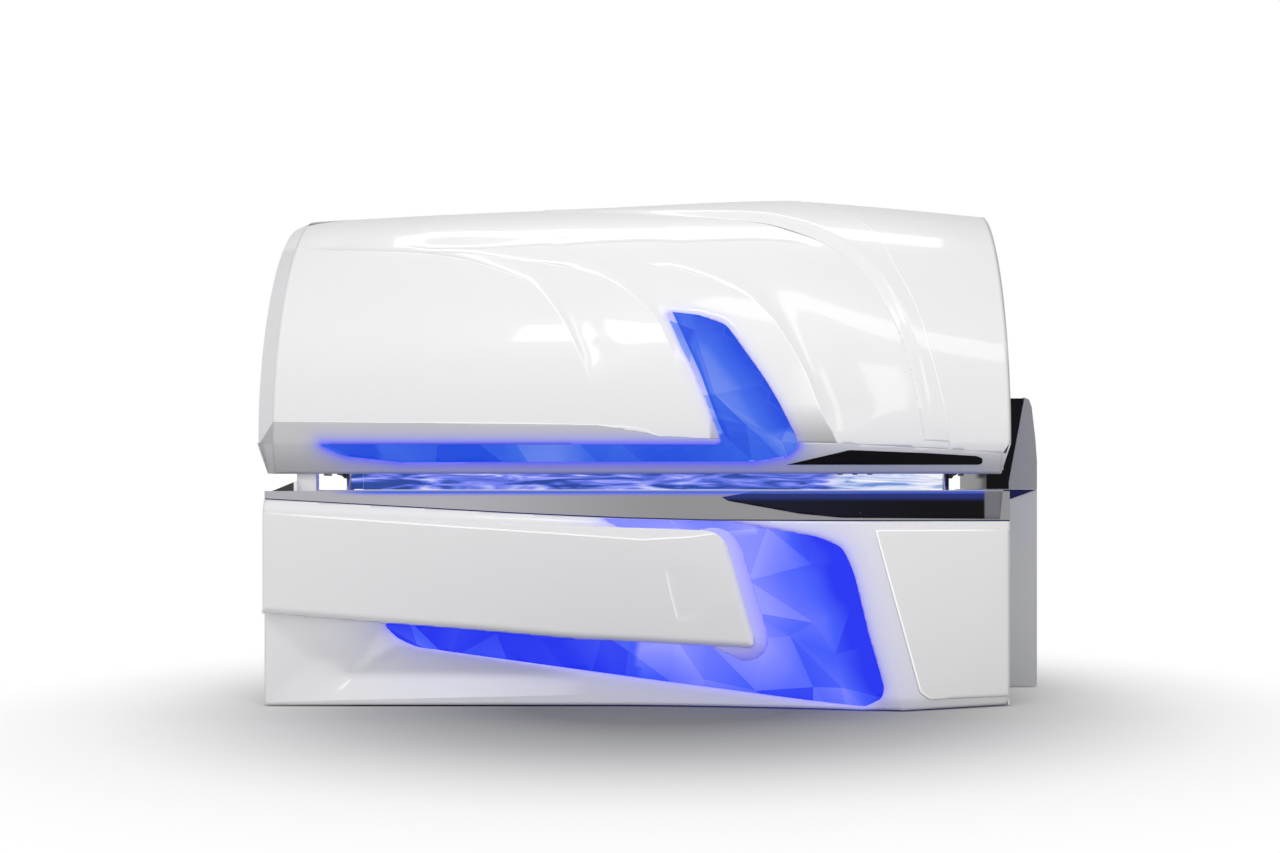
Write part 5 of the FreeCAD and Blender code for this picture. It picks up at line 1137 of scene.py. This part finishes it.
BASE_LENS_LINE = rounded(on_base(BASE_LENS))
COVER_LINE = rounded(on_base(FRONT_COVER))
PANEL_LINE = rounded(on_base(RIGHT_PANEL))
MOUTH_LINE = rounded(on_base(RECESS_MOUTH))
BASE_OUTER = vectors(on_base(BASE_LENS[2:7]))
VALLEY = vectors(on_base(RECESS_VALLEY))
SLOT = vectors(on_base(SLOT_LINE))
BAND_FOOT = vectors(on_base(FRONT_COVER[:4]))
COVER_SIDE = vectors(on_base(FRONT_COVER[3:6]))
COVER_SIDES = vectors(on_base(FRONT_COVER[3:]))
TOP_CREASE = vectors(on_base(COVER_CREASE))


def slot_height(x):
    """Height of the slot between the lip and the fascia."""
    return np.interp(x, [point.x for point in SLOT], [point.y for point in SLOT])


def crease_fall(a, b):
    """Lean the cover back above its top crease."""
    crease = np.interp(a, [point.x for point in TOP_CREASE], [point.y for point in TOP_CREASE])
    return CREASE_FALL * np.clip(b - crease, 0, None)


def recess_depth(a, b):
    """Give the recess's depth, which grows from its mouth to its valley line."""
    mouth = distance_to(MOUTH_LINE, a, b, closed=True)[0]
    valley, _, along = distance_to(VALLEY, a, b)
    corners = np.cumsum([0] + [(q - p).length for p, q in zip(VALLEY, VALLEY[1:])])
    depth = np.interp(along, corners / corners[-1], VALLEY_DEPTHS)
    return np.where(inside(MOUTH_LINE, a, b), depth * mouth / (mouth + valley + 1e-9), 0.0)


def fascia_relief(a, b):
    """Fold the recess in, bring the band above the cover out to meet it, and chamfer the bottom edge."""
    turns = [math.tau * step / 8 for step in range(8)]
    around = [recess_depth(a + SOFT * math.cos(turn), b + SOFT * math.sin(turn)) for turn in turns]
    mouth = distance_to(MOUTH_LINE, a, b, closed=True)[0]
    soft = np.clip(mouth / SOFT, 0, 1)
    total = -soft * np.mean(around, axis=0) - (1 - soft) * recess_depth(a, b)
    top_edge = np.interp(a, [point.x for point in BAND_FOOT], [point.y for point in BAND_FOOT])
    climb = np.clip((slot_height(a) - b) / np.maximum(slot_height(a) - top_edge, 0.004), 0, 1)
    fade = np.clip((BAND_END - a) / BAND_FADE, 0, 1)
    full = COVER_PROUD - BAND_STEP - crease_fall(a, top_edge)
    total += np.where(b > top_edge - SKIN_GAP, full * np.sin(climb * math.pi / 2) * fade, 0)
    total -= drawn_in(BASE_LENS_LINE, a, b, BASE_LENS_RIM)
    bottom = np.clip(1 - (b - FLOOR_GAP) / CHAMFER_HEIGHT, 0, 1)
    return total - CHAMFER * bottom * np.clip((a - CHAMFER_START) / 0.05, 0, 1)


def make_base_front():
    """Make the fascia, the raised cover with its rim, and the panel at the head end."""
    top = [point - Vector((0, 0.004)) for point in SLOT]
    top[0].x, top[-1].x = BASE_LEFT, BASE_RIGHT
    near = halo(BASE_LENS_LINE, 0.010, 0.5)
    wide = halo(BASE_LENS_LINE, 0.07, 0.36)
    make_skin("base_fascia_shell", BASE, top + vectors([(BASE_RIGHT, FLOOR_GAP), (BASE_LEFT, FLOOR_GAP)]),
              fascia_relief, ["base_lower_fascia"], holes=[BASE_LENS_LINE],
              lines=[MOUTH_LINE[-1:] + MOUTH_LINE[:3], BAND_FOOT], sharp=50,
              glow=lambda a, b: near(a, b) + wide(a, b))

    short = [smooth_line(on_base(SHORT_CREASE), 3)]
    borders = [beside(TOP_CREASE, gap) for gap in (-LINE_WIDTH, LINE_WIDTH)]
    make_skin("base_cover_shell", BASE, COVER_LINE, cover_relief, ["base_front_cover"], cell=FINE_CELL,
              lines=with_edges(short) + [TOP_CREASE] + borders, sharp=50, glow=cover_glow,
              line=bright(short + [TOP_CREASE], (0.9, 1.5)))
    make_cover_rim()

    edge = [vectors(on_base(PANEL_EDGE))]
    make_skin("base_panel_shell", BASE, PANEL_LINE, panel_relief, ["base_right_panel"], cell=FINE_CELL,
              lines=with_edges(edge), sharp=50, line=bright(edge, (1.6,)))


def make_lenses():
    """Make both lenses; the canopy's has a pale strip along its inner side."""
    make_lens("base_lens_facets", BASE, grown(BASE_LENS_LINE, 0.001), 0.105, 5, BASE_BLUE,
              ["base_front_lens"], base_tone)
    gaps = (STRIP_WIDTH, STRIP_WIDTH + STRIP_EDGE, -STRIP_WIDTH, -STRIP_WIDTH - STRIP_EDGE)
    make_lens("canopy_lens_facets", CANOPY, grown(LENS_LINE, 0.003), 0.15, 11, CANOPY_BLUE, ["canopy_lens"],
              canopy_tone, tip=(CANOPY_LEFT + 0.20, CANOPY_LEFT + 0.26),
              lines=[beside(INNER, gap) for gap in gaps])


def make_cover_rim():
    """Make the pale rim that shows beyond the cover's head side, and runs out at its foot side."""
    rim = []
    for here, out in zip(COVER_LINE, grown(COVER_LINE, RIM_WIDTH)):
        point = here.lerp(out, min(1, max(0, (here.x - RIM_START) / RIM_GROWTH)))
        rim.append(Vector((max(point.x, RIM_START), min(point.y, float(slot_height(point.x)) - 0.006))))
    rim = [point for i, point in enumerate(rim) if (point - rim[i - 1]).length > 1e-4]
    make_skin("base_cover_rim", BASE, rim, rim_relief, wall=THIN_WALL,
              glow=lambda a, b: 0.62 + 0.38 * rim_share(a, b))


def make_rail_ends():
    """Carry the rear edge rail's face, painted with the glow of the tubes, a little further towards both ends
    of the canopy.
    """
    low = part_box("canopy_edge_rails")[0].z + 0.002
    bm = bmesh.new()
    for near, far in RAIL_ENDS:
        made = bmesh.ops.create_grid(bm, x_segments=8, y_segments=1, size=0.5)["verts"]
        for vert in made:
            along, up = vert.co.x + 0.5, vert.co.y + 0.5
            vert.co = (near + (far - near) * along, RAIL_FACE, low + (CANOPY_BOTTOM + 0.01 - low) * up)
    bmesh.ops.recalc_face_normals(bm, faces=bm.faces)
    piece("canopy_rail_ends", bm, "canopy", TUBES, RIBBON_WALL)


def make_strip():
    """Make the black glass on the lip."""
    make_skin("base_glass_face", BASE, rounded(on_base(GLASS_STRIP)), painted, ["base_glass_strip"], STRIP,
              SKIN_WALL, cell=0.012)


def rim_share(a, b):
    """Give 0 at the cover's edge and 1 at the rim's own edge."""
    away = distance_to(COVER_LINE, a, b, closed=True)[0]
    return np.where(inside(COVER_LINE, a, b), 0, np.clip(away / RIM_WIDTH, 0, 1))


def rim_relief(a, b):
    return RIM_PROUD - (RIM_PROUD - SKIN_WALL) * rim_share(a, b) ** 2


def cover_glow(a, b):
    """Let a little lens light on to the head side of the cover."""
    return 0.35 * np.exp(-distance_to(COVER_SIDE, a, b)[0] / 0.008)


def rounding(away, radius):
    """Depth of a rounded edge at a distance from the outline."""
    inner = np.clip(away / radius, 0, 1)
    return radius * (1 - np.sqrt(np.clip(1 - (1 - inner) ** 2, 0, 1)))


def cover_relief(a, b):
    """Stand the cover out of the front with a crisp top edge and rounded sides."""
    right = BASE_LEFT + 0.596 * BASE_LENGTH
    foot = [Vector((BASE_LEFT, 0)), Vector((BASE_LEFT, DECK))]
    away = distance_to(COVER_SIDES, a, b)[0]
    away = np.where((a < right) & (distance_to(BAND_FOOT, a, b)[0] < away), 1, away)
    away = np.where(distance_to(foot, a, b)[0] < 0.004, 1, away)
    short = fold(smooth_line(on_base(SHORT_CREASE)), 0.002, 0.02)(a, b)
    return COVER_PROUD - rounding(away, COVER_ROUND) - crease_fall(a, b) + short


def panel_relief(a, b):
    away = distance_to(PANEL_LINE, a, b, closed=True)[0]
    return PANEL_PROUD - rounding(away, PANEL_ROUND)


# ---------------------------------------------------------------- the whole bed

dress_nodes()
bpy.context.scene.view_settings.view_transform = "Standard"
make_camera()
make_light()
make_floor()
make_canopy()
make_skirt()
make_base_front()
make_lenses()
make_strip()
make_rail_ends()
